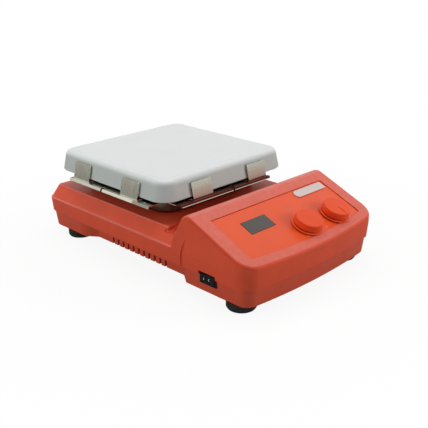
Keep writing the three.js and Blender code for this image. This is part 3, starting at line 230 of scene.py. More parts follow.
class ControlSizes(bpy.types.PropertyGroup):
    """Sizes of the panel's overlay, display, knobs and switch"""
    side_margin: length("Side margin", 0.0168, "From the housing's side to the overlay")
    front_margin: length("Front margin", 0.012, "From the panel's front edge to the overlay")
    top_run: length("Top run", 0.080, "From the panel's front edge to the overlay's top, along the slope")
    corner: length("Overlay corner", 0.003, "Radius of the overlay's corners")
    sink: length("Overlay sink", 0.0009, "How far the overlay lies under the rim")
    sheet: length("Overlay sheet", 0.0004, "Thickness of the overlay")
    bezel: length("Display bezel", 0.0011, "Width of the dark border of the display")
    knob_edge: length("Knob edge", 0.0011, "Rounding of a knob's upper edge")
    knob_draft: length("Knob draft", 0.0004, "How far a knob's side leans in")
    knob_wall: length("Knob wall", 0.0024, "Wall of a knob")
    pointer_width: length("Pointer width", 0.0013, "Width of the pointer groove")
    pointer_length: length("Pointer length", 0.012, "Length of the pointer groove")
    pointer_inset: length("Pointer inset", 0.0022, "From the knob's edge to the pointer groove")
    pointer_depth: length("Pointer depth", 0.0006, "Depth of the pointer groove")
    print_height: length("Print height", 0.00008, "How far printed marks stand off their ground")
    mark: length("Mark size", 0.0042, "Width of the small marks beside the knobs")
    rocker_round: length("Rocker rounding", 0.0005, "Rounding of the rocker's edges")


class StirrerColours(bpy.types.PropertyGroup):
    """Colours of the finishes"""
    housing: colour("Housing", 212, 78, 48, "Orange-red of the upper housing")
    base: colour("Base", 200, 74, 47, "Orange-red of the base cover")
    overlay: colour("Overlay", 226, 82, 36, "Orange of the panel's overlay")
    knob: colour("Knobs", 228, 76, 30, "Orange of the knobs")
    plate: colour("Plate", 222, 226, 225, "Off-white of the plate's face")
    flank: colour("Plate flank", 178, 185, 181, "Greyer white of the plate's skirt")
    steel: colour("Sheet steel", 214, 212, 196, "Warm grey of the rolled sheet")
    display: colour("Display", 62, 57, 51, "Dark grey of the display")
    rubber: colour("Rubber", 19, 18, 18, "Black of the feet")
    black: colour("Black plastic", 16, 16, 17, "Black of the switch and the sockets")
    silver: colour("Silver trim", 204, 190, 186, "Pale silver of the label")
    print: colour("Print", 232, 230, 226, "White of printed marks")
    floor: colour("Floor", 254, 254, 254, "Pale floor, as it is seen")
    bounce: colour("Floor bounce", 168, 167, 165, "How much light the floor sends back up")


class StageSizes(bpy.types.PropertyGroup):
    """Camera, floor and surrounding light"""
    camera: bpy.props.FloatVectorProperty(
        name="Camera", default=(-0.55542, -0.57802, 0.34861), subtype="TRANSLATION",
        description="Where the camera stands")
    target: bpy.props.FloatVectorProperty(
        name="Target", default=(-0.00423, -0.02101, 0.046), subtype="TRANSLATION",
        description="What the camera looks at")
    roll: angle("Roll", math.radians(-0.574), "How far the camera is turned about its view")
    lens: bpy.props.FloatProperty(name="Lens", default=59.67, description="Focal length in millimetres")
    floor: length("Floor width", 12.0, "Width of the floor")
    shadow: length("Shadow reach", 0.42, "Radius inside which the floor keeps its shading")
    shadow_fade: bpy.props.FloatProperty(
        name="Shadow fade", default=0.9, description="Share of plain white mixed into the floor's shadow")
    world: bpy.props.FloatProperty(
        name="World", default=0.36, description="Strength of the surrounding light")


def panel_frame(edge):
    """From the panel's own frame, with X across, Y up the slope and Z out of it, to the row frame."""
    return Matrix.Translation((0, FRONT, edge)) @ Matrix.Rotation(TILT, 4, "X")


# Shader nodes and finishes


class Wire:
    """One shader socket; arithmetic on it adds Math nodes to its tree."""

    def __init__(self, nodes, socket):
        self.nodes = nodes
        self.socket = socket

    def math(self, operation, *values):
        return self.nodes.node("ShaderNodeMath", {"operation": operation}, dict(enumerate(values)))

    def __add__(self, other):
        return self.math("ADD", self, other)

    def __sub__(self, other):
        return self.math("SUBTRACT", self, other)

    def __rsub__(self, other):
        return self.math("SUBTRACT", other, self)

    def __mul__(self, other):
        return self.math("MULTIPLY", self, other)

    def __gt__(self, other):
        return self.math("GREATER_THAN", self, other)

    def __lt__(self, other):
        return self.math("LESS_THAN", self, other)

    def __abs__(self):
        return self.math("ABSOLUTE", self)

    def or_more(self, other):
        """The greater of two values."""
        return self.math("MAXIMUM", self, other)

    __radd__ = __add__
    __rmul__ = __mul__


class NodeTree:
    """A tree of shader nodes in the making."""

    def __init__(self, tree):
        self.tree = tree
        tree.nodes.clear()

    def plug(self, place, value):
        """Gives a socket a link or a plain value."""
        if isinstance(value, Wire):
            self.tree.links.new(value.socket, place)
        elif place.type == "RGBA" and len(value) == 3:
            place.default_value = (*value, 1.0)
        else:
            place.default_value = value

    def node(self, kind, settings=None, values=None, out=0):
        """Adds a node: first its settings, then the values or links of its sockets."""
        node = self.tree.nodes.new(kind)
        for name, value in (settings or {}).items():
            setattr(node, name, value)
        for name, value in (values or {}).items():
            self.plug(node.inputs[name], value)
        return Wire(self, node.outputs[out]) if node.outputs else node

    def mix(self, factor, first, second):
        """A colour between two others."""
        values = dict(zip(MIX_INPUTS, (factor, first, second)))
        return self.node("ShaderNodeMix", {"data_type": "RGBA"}, values, out=MIX_OUTPUT)


class Finish(NodeTree):
    """A material in the making, with its shader and the object's own coordinates."""

    def __init__(self, name, values):
        self.material = bpy.data.materials.new(name)
        self.material.use_nodes = True
        super().__init__(self.material.node_tree)
        self.shader = self.node("ShaderNodeBsdfPrincipled")
        self.output = self.node("ShaderNodeOutputMaterial", None, {"Surface": self.shader})
        self.place = self.node("ShaderNodeTexCoord", out="Object")
        self.surface(values)

    def surface(self, values):
        for name, value in values.items():
            self.plug(self.shader.socket.node.inputs[name], value)

    def finished(self, colour, roughness, relief=None, distance=0.0, strength=1.0):
        """The material, once it has its colour, its roughness and perhaps a fine relief."""
        self.surface({"Base Color": colour, "Roughness": roughness})
        if relief:
            values = {"Height": relief, "Distance": distance, "Strength": strength}
            self.surface({"Normal": self.node("ShaderNodeBump", None, values)})
        return self.material

    def stretched(self, scale):
        """The coordinates, stretched along each axis."""
        return self.node("ShaderNodeMapping", None, {"Vector": self.place, "Scale": scale})

    def axes(self, vector=None):
        """The three numbers of a vector, or of the coordinates."""
        parts = self.node("ShaderNodeSeparateXYZ", None, {"Vector": vector or self.place})
        return [Wire(self, part) for part in parts.socket.node.outputs]

    def noise(self, scale, detail=2.0, place=None):
        values = {"Vector": place or self.place, "Scale": scale, "Detail": detail, "Roughness": 0.55}
        return self.node("ShaderNodeTexNoise", None, values)

    def range(self, value, low, high, start, end):
        """A value that runs from start to end as another runs from low to high."""
        values = {"Value": value, "From Min": low, "From Max": high, "To Min": start, "To Max": end}
        return self.node("ShaderNodeMapRange", None, values)

    def uneven(self, spread, start, end, scale, detail=2.0):
        """Noise that runs from start to end as its values cross a spread."""
        return self.range(self.noise(scale, detail), *spread, start, end)

    def over(self, value, middle, blur, share=1.0):
        """Nought below a middle and a share above it, with a blur between."""
        return self.range(value, middle - blur / 2, middle + blur / 2, 0.0, share)

    def under(self, value, middle, blur):
        """One below a middle and nought above it, with a blur between."""
        return self.range(value, middle - blur / 2, middle + blur / 2, 1.0, 0.0)


def tinted(tint, share):
    """The same colour, lighter or darker by a share."""
    return tuple(min(1.0, channel * share) for channel in tint)


def paler(tint, share):
    """The same colour with a share of white."""
    return tuple(channel + (1.0 - channel) * share for channel in tint)


def moulded(name, tint, roughness, grain, coat=0.0, sheen=0.5, painted_highlights=None):
    """Moulded or painted plastic: a faint mottle, a fine grain, uneven gloss and perhaps painted highlights
    and painted sheen.
    """
    dark_share, pale_share, speck_share, highlight_share = 0.955, 1.035, 0.86, 0.16
    smoother, rougher, specks = 0.05, 0.06, (0.62, 0.75)
    finish = Finish(name, {
        "Coat Weight": coat, "Coat Roughness": 0.3, "IOR": 1.47, "Specular IOR Level": sheen})
    mottle = finish.uneven(MIDDLE, start=0.0, end=1.0, scale=26.0, detail=3.0)
    speck = finish.uneven(specks, start=0.0, end=0.35, scale=900.0)
    ground = finish.mix(mottle, tinted(tint, dark_share), tinted(tint, pale_share))
    painted = finish.mix(speck, ground, tinted(tint, speck_share))
    # Painted highlights and painted sheen pale the colour where a mask is given.
    if painted_highlights:
        painted = finish.mix(painted_highlights(finish), painted, paler(tint, highlight_share))
    gloss = finish.uneven(MOST, roughness - smoother, roughness + rougher, scale=70.0, detail=3.0)
    return finish.finished(painted, gloss, finish.noise(scale=1500.0), distance=grain, strength=0.55)


def painted_edge_highlights(housing):
    """How much painted highlights pale the paint along the belt and the deck's long edges, and painted sheen
    on the head.
    """
    head_rear, deck_edge = FRONT + housing.head_length, HALF - housing.deck_inset
    belt_offset, belt_core, belt_reach, head_blur = 0.0004, 0.0003, 0.0013, 0.002
    deck_drop, deck_slack = 0.001, 0.0002
    line_share, sheen_share, level_enough = 0.75, 0.75, 0.75

    def share(finish):
        x, y, z = finish.axes()
        upward = finish.axes(finish.node("ShaderNodeNewGeometry", out="Normal"))[2]
        patchy = finish.uneven(MOST, start=0.6, end=1.0, scale=160.0)
        belt = finish.range(abs(z - (housing.belt + belt_offset)), belt_core, belt_reach, 1.0, 0.0)
        deck = finish.over(z, housing.deck - deck_drop, blur=0.0008)
        deck = deck * finish.over(abs(x), deck_edge - deck_slack, blur=0.0008)
        # Painted highlights: thin pale lines along the belt and the deck's long edges behind the head.
        lines = finish.over(y, head_rear + head_blur / 2, head_blur, line_share) * belt.or_more(deck)
        # Painted sheen: the head's faces that look up are paled.
        dust = finish.range(upward, level_enough, 1.0, 0.0, sheen_share)
        dust = dust * finish.under(y, head_rear - head_blur / 2, head_blur)
        return patchy * lines.or_more(dust)

    return share


def overlay_film(name, tint):
    """A printed film: very smooth, with a fine matt texture and a faint warm cloud in its print."""
    clouds, pale_share = (0.35, 0.68), 1.06
    finish = Finish(name, {"Coat Weight": 0.08, "Coat Roughness": 0.18, "Specular IOR Level": 0.35})
    cloud = finish.uneven(clouds, start=0.0, end=1.0, scale=14.0)
    gloss = finish.uneven(MOST, start=0.3, end=0.37, scale=240.0)
    return finish.finished(
        finish.mix(cloud, tint, tinted(tint, pale_share)), gloss, finish.noise(scale=2600.0, detail=1.0),
        distance=0.00001, strength=0.4)


def glaze(name, tint, flank):
    """A fired coating: a pale flat face over greyer flanks, faint stains and a soft gloss."""
    stained, stain_share, face_drop, flank_drop = (0.42, 0.42, 0.40), 0.04, 0.0004, 0.007
    finish = Finish(name, {"Coat Weight": 0.12, "Coat Roughness": 0.25, "IOR": 1.5})
    height = finish.axes()[2]
    face = finish.range(height, PLATE_HIGH.z - flank_drop, PLATE_HIGH.z - face_drop, 0.0, 1.0)
    stain = finish.uneven(MIDDLE, start=0.0, end=stain_share, scale=9.0, detail=3.0)
    gloss = finish.uneven(MOST, start=0.3, end=0.37, scale=38.0)
    return finish.finished(
        finish.mix(stain, finish.mix(face, flank, tint), stained), gloss,
        finish.noise(scale=150.0, detail=1.0), distance=0.000004, strength=0.2)


def rolled_lines(finish, tint, stretch, dark_share, pale_share, stain_share):
    """The fine lines of rolled or brushed metal, and its tone with those lines and some soft stains."""
    stained_share = 0.78
    lines = finish.noise(scale=34.0, detail=4.0, place=finish.stretched(stretch))
    stain = finish.uneven(STAINS, start=0.0, end=stain_share, scale=22.0, detail=3.0)
    ground = finish.mix(lines, tinted(tint, dark_share), tinted(tint, pale_share))
    return lines, finish.mix(stain, ground, tinted(tint, stained_share))


def brushed(name, tint, roughness, stretch):
    """Brushed metal: fine lines along one direction over soft stains."""
    smoother, rougher = 0.03, 0.05
    finish = Finish(name, {"Metallic": 1.0})
    lines, ground = rolled_lines(finish, tint, stretch, dark_share=0.92, pale_share=1.08, stain_share=0.2)
    gloss = finish.range(lines, *MOST, roughness - smoother, roughness + rougher)
    return finish.finished(ground, gloss, lines, distance=0.00001, strength=0.2)


def shield_steel(name, tint, plate):
    """Rolled sheet: painted shade darkens it in the pan and low down; a painted reflection of the head tints
    it straw to maroon beside the head and darkens the left lip's ends.
    """
    # Colour and shares for the painted reflection and the painted shade on the steel
    maroon, painted_reflection_share, painted_shade_share = (0.17, 0.05, 0.042), 0.45, 0.22
    ahead_tone, ahead_roughness, smoothest, roughest = 0.4, 0.2, 0.13, 0.21
    level = wing_level(plate)
    pan_slack, pan_drop, wing_rise = 0.0009, 0.004, 0.001
    pan_edge, pan_shade, wing_top = plate.pan / 2 + pan_slack, level - pan_drop, level + wing_rise
    hem_top, front_side = level - plate.lip_drop + plate.hem, -0.10075
    left_lip, lip_fore, lip_aft = -0.105, -0.056, 0.001
    finish = Finish(name, {"Metallic": 1.0})
    lines, ground = rolled_lines(
        finish, tint, stretch=(18.0, 18.0, 1.4), dark_share=0.93, pale_share=1.06, stain_share=0.1)
    x, y, z = finish.axes()
    along = y - PLATE_Y
    inward = finish.under(abs(x).or_more(abs(along)), pan_edge, blur=0.001)
    # Painted shade: the sheet is darkened inside the pan and low down under the plate.
    painted_shade_mask = inward.or_more(finish.under(z, pan_shade, blur=0.001))
    ahead = finish.under(along, front_side, blur=0.0015)
    wing = finish.under(z, wing_top, blur=0.0004) * finish.over(z, hem_top, blur=0.0002)
    lip_ends = finish.under(along, lip_fore, blur=0.003) + finish.over(along, lip_aft, blur=0.006, share=0.3)
    lip = finish.under(x, left_lip, blur=0.001) * lip_ends
    # Painted reflection: the front side and the left lip's ends take a darker straw tone.
    painted_reflection_tone = finish.mix((ahead * ahead_tone).or_more(lip), ground, tinted(tint, painted_reflection_share))
    # Painted reflection: the orange head's maroon on the front wing's lip.
    scorched = finish.mix(ahead * wing, painted_reflection_tone, maroon)
    gloss = finish.range(lines, *MOST, smoothest, roughest) + ahead * ahead_roughness
    # Painted shade: the tone darkens where the shade mask is set.
    painted_shade_tone = finish.mix(painted_shade_mask, scorched, tinted(tint, painted_shade_share))
    return finish.finished(painted_shade_tone, gloss, lines, distance=0.00001, strength=0.2)


def machined(name, tint, roughness):
    """Turned or cast metal: a mottled tone with a fine grain."""
    dark_share, smoother, rougher = 0.86, 0.06, 0.07
    finish = Finish(name, {"Metallic": 1.0})
    grain = finish.noise(scale=520.0, detail=3.0)
    tone = finish.uneven(MIDDLE, start=0.0, end=1.0, scale=60.0, detail=3.0)
    gloss = finish.range(grain, *MOST, roughness - smoother, roughness + rougher)
    return finish.finished(
        finish.mix(tone, tinted(tint, dark_share), tint), gloss, grain, distance=0.00003, strength=0.4)


def rubbery(name, tint):
    """Matt rubber with a bloom of dust."""
    dusty, dusty_share = (0.45, 0.75), 2.2
    finish = Finish(name, {"IOR": 1.5})
    dust = finish.uneven(dusty, start=0.0, end=0.5, scale=160.0, detail=4.0)
    gloss = finish.uneven(MOST, start=0.62, end=0.82, scale=300.0)
    return finish.finished(
        finish.mix(dust, tint, tinted(tint, dusty_share)), gloss, finish.noise(scale=1100.0),
        distance=0.00006, strength=0.6)


def lens(name, tint, bezel):
    """The display: a dark pane with a slightly paler field inside a black border, under clear gloss."""
    dark_share, pale_share, border_share, black = 0.9, 1.1, 0.6, (0.02, 0.02, 0.02)
    low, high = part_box("display_window")
    finish = Finish(name, {"Coat Weight": 0.2, "Coat Roughness": 0.1, "IOR": 1.45})
    aside = abs(finish.axes()[0] - (low.x + high.x) / 2)
    border = aside > (high.x - low.x) / 2 - bezel
    fog = finish.uneven(MOST, start=0.0, end=1.0, scale=45.0)
    field = finish.mix(fog, tinted(tint, dark_share), tinted(tint, pale_share))
    gloss = finish.uneven(MOST, start=0.2, end=0.26, scale=400.0, detail=1.0)
    return finish.finished(
        finish.mix(border * border_share, field, black), gloss, finish.noise(scale=90.0, detail=1.0),
        distance=0.00001, strength=0.3)


def printed(name, tint):
    """Ink: matt, with slightly uneven cover."""
    covering, thin_share, glossiest, dullest = (0.35, 0.6), 0.9, 0.5, 0.6
    finish = Finish(name, {})
    cover = finish.uneven(covering, start=0.0, end=1.0, scale=1800.0)
    gloss = finish.range(cover, 0.0, 1.0, glossiest, dullest)
    return finish.finished(finish.mix(cover, tinted(tint, thin_share), tint), gloss)


def board(name, tint):
    """A circuit board: solder mask with lighter tracks."""
    track_share, pale_share = 0.5, 2.4
    finish = Finish(name, {"Coat Weight": 0.4, "Coat Roughness": 0.2})
    tracks = finish.node(
        "ShaderNodeTexBrick", {"offset": 0.5},
        {"Vector": finish.place, "Scale": 90.0, "Mortar Size": 0.05}, out="Fac")
    gloss = finish.uneven(MOST, start=0.35, end=0.5, scale=500.0)
    return finish.finished(
        finish.mix(tracks * track_share, tint, tinted(tint, pale_share)), gloss, tracks,
        distance=0.00004, strength=0.5)


def wound(name, tint):
    """Enamelled wire, wound in fine turns."""
    dark_share = 0.55
    finish = Finish(name, {"Metallic": 0.8, "Coat Weight": 0.5})
    turns = finish.node(
        "ShaderNodeTexWave", {"wave_type": "BANDS", "bands_direction": "Z"},
        {"Vector": finish.place, "Scale": 380.0, "Distortion": 0.6})
    gloss = finish.uneven(MOST, start=0.25, end=0.4, scale=200.0)
    return finish.finished(
        finish.mix(turns, tinted(tint, dark_share), tint), gloss, turns, distance=0.0002, strength=0.7)


def fibrous(name, tint):
    """Pressed mineral fibre: matt, tangled and slightly scorched."""
    dark_share, pale_share, scorched_share = 0.78, 1.1, 0.6
    scorching, tangled, smoothest, roughest = (0.45, 0.75), (0.2, 0.8), 0.85, 1.0
    finish = Finish(name, {})
    tangle = finish.noise(scale=420.0, detail=6.0, place=finish.stretched(scale=(1.0, 2.6, 1.4)))
    scorch = finish.uneven(scorching, start=0.0, end=0.4, scale=18.0, detail=3.0)
    ground = finish.mix(tangle, tinted(tint, dark_share), tinted(tint, pale_share))
    gloss = finish.range(tangle, *tangled, smoothest, roughest)
    return finish.finished(
        finish.mix(scorch, ground, tinted(tint, scorched_share)), gloss, tangle,
        distance=0.0003, strength=0.8)


def make_finishes(scene):
    """Makes every finish under its name."""
    colours, plate, housing = scene.stirrer_colours, scene.stirrer_plate, scene.stirrer_housing
    painted_highlights, bezel = painted_edge_highlights(housing), scene.stirrer_controls.bezel
    recipes = (
        # The housing's paint carries painted highlights and painted sheen.
        ("housing_paint", moulded, colours.housing,
         dict(roughness=0.44, grain=0.00003, coat=0.06, sheen=0.3, painted_highlights=painted_highlights)),
        ("base_paint", moulded, colours.base, dict(roughness=0.44, grain=0.00004, coat=0.08)),
        ("overlay_film", overlay_film, colours.overlay, {}),
        ("knob_plastic", moulded, colours.knob, dict(roughness=0.42, grain=0.00002, coat=0.05, sheen=0.3)),
        ("collar_gloss", moulded, colours.knob, dict(roughness=0.34, grain=0.00001, coat=0.2, sheen=0.3)),
        ("plate_glaze", glaze, colours.plate, dict(flank=tuple(colours.flank))),
        # The shield's steel carries painted shade and a painted reflection of the head.
        ("shield_steel", shield_steel, colours.steel, dict(plate=plate)),
        ("display_lens", lens, colours.display, dict(bezel=bezel)),
        ("foot_rubber", rubbery, colours.rubber, {}),
        ("black_plastic", moulded, colours.black, dict(roughness=0.38, grain=0.00002, sheen=0.3)),
        ("label_foil", brushed, colours.silver, dict(roughness=0.42, stretch=(1.0, 30.0, 1.0))),
        ("white_print", printed, colours.print, {}),
        ("pale_print", printed, linear(240, 168, 140), {}),
        ("grey_print", printed, linear(150, 120, 110), {}),
        ("zinc_plate", machined, linear(172, 176, 180), dict(roughness=0.36)),
        ("turned_steel", machined, linear(150, 152, 156), dict(roughness=0.3)),
        ("cast_metal", machined, linear(176, 178, 180), dict(roughness=0.5)),
        ("brass", machined, linear(196, 168, 96), dict(roughness=0.34)),
        ("nickel", machined, linear(205, 203, 198), dict(roughness=0.2)),
        ("board_green", board, linear(32, 96, 58), {}),
        ("copper_winding", wound, linear(190, 108, 60), {}),
        ("mineral_board", fibrous, linear(214, 208, 190), {}),
    )
    for name, make, tint, settings in recipes:
        FINISHES[name] = make(name, tuple(tint), **settings)


# Mesh building


def quarter_turns(steps):
    """Evenly spaced turns from nought to a quarter circle."""
    return [QUARTER * step / steps for step in range(steps + 1)]


def share_between(value, start, end):
    """Nought up to a start, one past an end, and even between them."""
    return min(1.0, max(0.0, (value - start) / (end - start)))


def rounded(points, radii, steps=FILLET_STEPS):
    """A flat open line whose inner corners are rounded, each by its own radius."""
    line = [Vector(point) for point in points]
    result = [line[0]]
    for before, here, after, radius in zip(line, line[1:], line[2:], radii):
        into = (before - here).normalized()
        out = (after - here).normalized()
        half = into.angle(out) / 2
        reach = radius / math.tan(half)
        centre = here + (into + out).normalized() * radius / math.sin(half)
        start = here + into * reach - centre
        sweep = start.angle_signed(here + out * reach - centre)
        for step in range(steps + 1):
            turn = -sweep * step / steps
            cosine, sine = math.cos(turn), math.sin(turn)
            result.append(centre + Vector((
                start.x * cosine - start.y * sine, start.x * sine + start.y * cosine)))
    result.append(line[-1])
    return result


def arc(x, y, radius, start, end, steps):
    """Points along an arc."""
    turns = (start + (end - start) * step / steps for step in range(steps + 1))
    return [Vector((x + radius * math.cos(turn), y + radius * math.sin(turn))) for turn in turns]


def round_rect(half_x, half_y, radius, x=0.0, y=0.0, steps=8):
    """The outline of a rectangle with round corners."""
    along, up = half_x - radius, half_y - radius
    corners = ((along, up, 0), (-along, up, 1), (-along, -up, 2), (along, -up, 3))
    return [point for cx, cy, turn in corners for point in
            arc(x + cx, y + cy, radius, turn * QUARTER, (turn + 1) * QUARTER, steps)]


def close_shape(bm):
    """Merges doubles and turns the faces outwards."""
    bmesh.ops.remove_doubles(bm, verts=bm.verts, dist=MERGE)
    bmesh.ops.recalc_face_normals(bm, faces=bm.faces)
    return bm


def drawn_on(bm, verts, edges, points):
    """Extrudes a ring and moves the new ring to its own points."""
    fresh = {item for item in bmesh.ops.extrude_edge_only(bm, edges=edges)["geom"]
             if isinstance(item, bmesh.types.BMVert)}
    following = []
    for vert, point in zip(verts, points):
        twin = next(edge.other_vert(vert) for edge in vert.link_edges if edge.other_vert(vert) in fresh)
        twin.co = point
        following.append(twin)
    pairs = zip([following[-1], *following], following)
    return following, [bm.edges.get(pair) for pair in pairs]


def loft(rings, last_cap=True):
    """A solid through closed rings that have the same number of points."""
    bm = bmesh.new()
    verts = [bm.verts.new(point) for point in rings[0]]
    edges = first = [bm.edges.new((verts[index - 1], verts[index])) for index in range(len(verts))]
    for points in rings[1:]:
        verts, edges = drawn_on(bm, verts, edges, points)
    bmesh.ops.edgeloop_fill(bm, edges=first)
    if last_cap:
        bmesh.ops.edgeloop_fill(bm, edges=edges)
        return close_shape(bm)
    return bm, edges


def slab(outline, low, high):
    """A flat outline drawn up from one height to another."""
    return loft([[(x, y, z) for x, y in outline] for z in (low, high)])


def turned(profile, x=0.0, y=0.0, sides=SIDES):
    """A profile of radius and height, spun about the vertical axis."""
    bm = bmesh.new()
    verts = [bm.verts.new((radius, 0.0, z)) for radius, z in profile]
    edges = [bm.edges.new(pair) for pair in zip(verts, verts[1:])]
    bmesh.ops.spin(
        bm, geom=verts + edges, cent=ORIGIN, axis=UP, angle=FULL, steps=sides, use_merge=True)
    bmesh.ops.translate(bm, verts=bm.verts, vec=(x, y, 0.0))
    return close_shape(bm)


def block(low, high, radius=0.0, segments=3):
    """A box between two corners, with rounded edges."""
    bm = bmesh.new()
    bmesh.ops.create_cube(bm, size=1.0)
    low, high = Vector(low), Vector(high)
    bmesh.ops.scale(bm, verts=bm.verts, vec=high - low)
    bmesh.ops.translate(bm, verts=bm.verts, vec=(low + high) / 2)
    if radius:
        bmesh.ops.bevel(
            bm, geom=bm.edges[:], offset=radius, offset_type="OFFSET", segments=segments, profile=0.5,
            affect="EDGES", material=-1)
    return bm


def drum(radius, low, high, x=0.0, y=0.0, edge=0.0, sides=48):
    """An upright cylinder, with rounded ends where an edge is given."""
    profile = [(0, low), (radius, low), (radius, high), (0, high)]
    if edge:
        profile = rounded(profile, (edge, edge), steps=3)
    return turned(profile, x, y, sides)


def hollow_ring(outer, inner, low, high, x=0.0, y=0.0, sides=40):
    """A flat upright ring."""
    return turned([(inner, low), (outer, low), (outer, high), (inner, high), (inner, low)], x, y, sides)


def facing_rear(bm, x, y, z):
    """Stands a flat shape upright, so that it runs rearwards from a place."""
    bm.transform(Matrix(((1, 0, 0, x), (0, 0, 1, y), (0, 1, 0, z), (0, 0, 0, 1))))
    return close_shape(bm)


def lying(bm, x, y, z):
    """Turns an upright shape to lie along Y and puts its foot at a place."""
    bm.transform(Matrix.Translation((x, y, z)) @ Matrix.Rotation(-QUARTER, 4, "X"))
    return bm


def together(shapes):
    """Several shapes in one mesh."""
    whole = bmesh.new()
    for shape in shapes:
        mesh = bpy.data.meshes.new("part")
        shape.to_mesh(mesh)
        shape.free()
        whole.from_mesh(mesh)
        bpy.data.meshes.remove(mesh)
    return whole


def as_object(name, bm):
    mesh = bpy.data.meshes.new(name)
    bm.to_mesh(mesh)
    bm.free()
    obj = bpy.data.objects.new(name, mesh)
    bpy.context.scene.collection.objects.link(obj)
    return obj


def carve(first, second, operation):
    """Joins one solid with another, or cuts it by another, and returns the result."""
    target = as_object("carved", first)
    tool = as_object("tool", second)
    change = target.modifiers.new("carve", "BOOLEAN")
    change.operation = operation
    change.solver = "MANIFOLD"
    change.object = tool
    graph = bpy.context.evaluated_depsgraph_get()
    result = bmesh.new()
    result.from_mesh(target.evaluated_get(graph).to_mesh())
    for used in (target, tool):
        mesh = used.data
        bpy.data.objects.remove(used)
        bpy.data.meshes.remove(mesh)
    if not result.faces:
        raise RuntimeError("a carved shape came out empty")
    return result


def joined(*shapes):
    whole = shapes[0]
    for shape in shapes[1:]:
        whole = carve(whole, shape, "UNION")
    return whole


def without(shape, *tools):
    for tool in tools:
        shape = carve(shape, tool, "DIFFERENCE")
    return shape


def finish_piece(
        name, bm, material, nodes=(), body="chassis", bevel=0.0, bevel_angle=40.0, segments=2):
    """Makes the piece, gives it its finish and edges, ties it to its body and hides the solids that it
    stands in for.
    """
    obj = as_object(name, bm)
    obj.data.materials.append(FINISHES[material])
    for face in obj.data.polygons:
        face.use_smooth = True
    obj.data.set_sharp_from_angle(angle=SMOOTH_ANGLE)
    if bevel:
        edges = obj.modifiers.new("edges", "BEVEL")
        edges.width = bevel
        edges.segments = segments
        edges.limit_method = "ANGLE"
        edges.angle_limit = math.radians(bevel_angle)
        edges.miter_outer = "MITER_ARC"
        edges.harden_normals = False
    normals = obj.modifiers.new("normals", "WEIGHTED_NORMAL")
    normals.keep_sharp = not bevel
    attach(obj, body)
    if nodes:
        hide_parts(*nodes)
    return obj


# Outlines of the housing


def bow_circle(sizes):
    """The radius and the middle of the circle that the front face follows."""
    radius = (HALF ** 2 + sizes.bow ** 2) / (2 * sizes.bow)
    return radius, FRONT + radius


def front_corner(sizes):
    """The middle of the right front corner's rounding and how far the corner turns."""
    radius, middle = bow_circle(sizes)
    x = HALF - sizes.front_corner
    y = middle - math.sqrt((radius - sizes.front_corner) ** 2 - x ** 2)
    return x, y, math.atan2(middle - y, x)


def front_half(sizes, inset, corner_steps=14, bow_steps=14):
    """The right half of the front, from the corner to just before the middle."""
    radius, middle = bow_circle(sizes)
    x, y, turn = front_corner(sizes)
    corner = arc(x, y, sizes.front_corner - inset, 0.0, -turn, corner_steps)
    half_step = 0.5
    for step in range(bow_steps):
        lean = (QUARTER - turn) * (1 - (step + 1) / (bow_steps + half_step))
        corner.append(Vector((
            (radius - inset) * math.sin(lean), middle - (radius - inset) * math.cos(lean))))
    return corner


def mirrored_ring(half):
    """A closed outline from its right half, which runs from the rear to the front."""
    return half + [Vector((-point.x, point.y)) for point in reversed(half)]


def rear_half(sizes, inset, y_front, steps=12, tightest=0.002):
    """The right half of the rear block, from its rear middle to its front end."""
    radius = max(sizes.rear_corner - inset, tightest)
    x, y = HALF - inset - radius, REAR - inset - radius
    return arc(x, y, radius, QUARTER, 0.0, steps) + [Vector((HALF - inset, y_front))]


def whole_outline(sizes, inset):
    """The full outline of the housing from above."""
    rear = rear_half(sizes, inset, 0.0)[:-1]
    return mirrored_ring(rear + front_half(sizes, inset))


class HeadProfile:
    """The control head from the side: panel, ridge and back slope, drawn in by an inset."""

    def __init__(self, sizes, inset, edge_steps=5):
        self.rear = FRONT + sizes.head_length - inset
        self.panel_slope = math.tan(TILT)
        self.back_slope = math.tan(sizes.back_tilt)
        self.panel_edge = sizes.edge - inset / math.cos(TILT)
        self.back_foot = sizes.deck - sizes.groove_drop - inset / math.cos(sizes.back_tilt)
        self.back_y = FRONT + sizes.head_length - sizes.back_lean
        apex = (self.back_foot - self.panel_edge + self.back_slope * self.back_y
                + self.panel_slope * FRONT) / (self.panel_slope + self.back_slope)
        peak = self.panel_edge + self.panel_slope * (apex - FRONT)
        self.radius = sizes.ridge - inset
        from_panel = QUARTER + TILT
        from_back = QUARTER - sizes.back_tilt
        reach = self.radius / math.sin((math.pi - TILT - sizes.back_tilt) / 2)
        lean = (from_panel + from_back) / 2
        self.ridge_y = apex - reach * math.cos(lean)
        self.ridge_z = peak - reach * math.sin(lean)
        self.panel_end = self.ridge_y + self.radius * math.cos(from_panel)
        self.back_end = self.ridge_y + self.radius * math.cos(from_back)
        self.angles = (from_back, from_panel)
        self.edge = sizes.back_edge
        self.edge_turns = quarter_turns(edge_steps)

    def height(self, y):
        if y <= self.panel_end:
            return self.panel_edge + self.panel_slope * (y - FRONT)
        if y < self.back_end:
            return self.ridge_z + math.sqrt(max(self.radius ** 2 - (y - self.ridge_y) ** 2, 0.0))
        return self.back_foot - self.back_slope * (y - self.back_y)

    def stations(self, end, ridge_steps=14, panel_steps=5):
        """Places along the side where the outline needs points, from the rear to a front end."""
        start, stop = self.angles
        ridge = [self.ridge_y + self.radius * math.cos(start + (stop - start) * step / ridge_steps)
                 for step in range(ridge_steps + 1)]
        panel = [self.panel_end + (end - self.panel_end) * (step + 1) / (panel_steps + 1)
                 for step in range(panel_steps)]
        edge = [self.rear - self.edge * (1 - math.cos(turn)) for turn in self.edge_turns]
        return [*edge, *ridge, *panel]


def band_foot(sizes, low):
    """The foot of the band under the belt, as insets and heights."""
    tuck = 0.001
    return [(sizes.draft + tuck, low), (sizes.draft, low)]


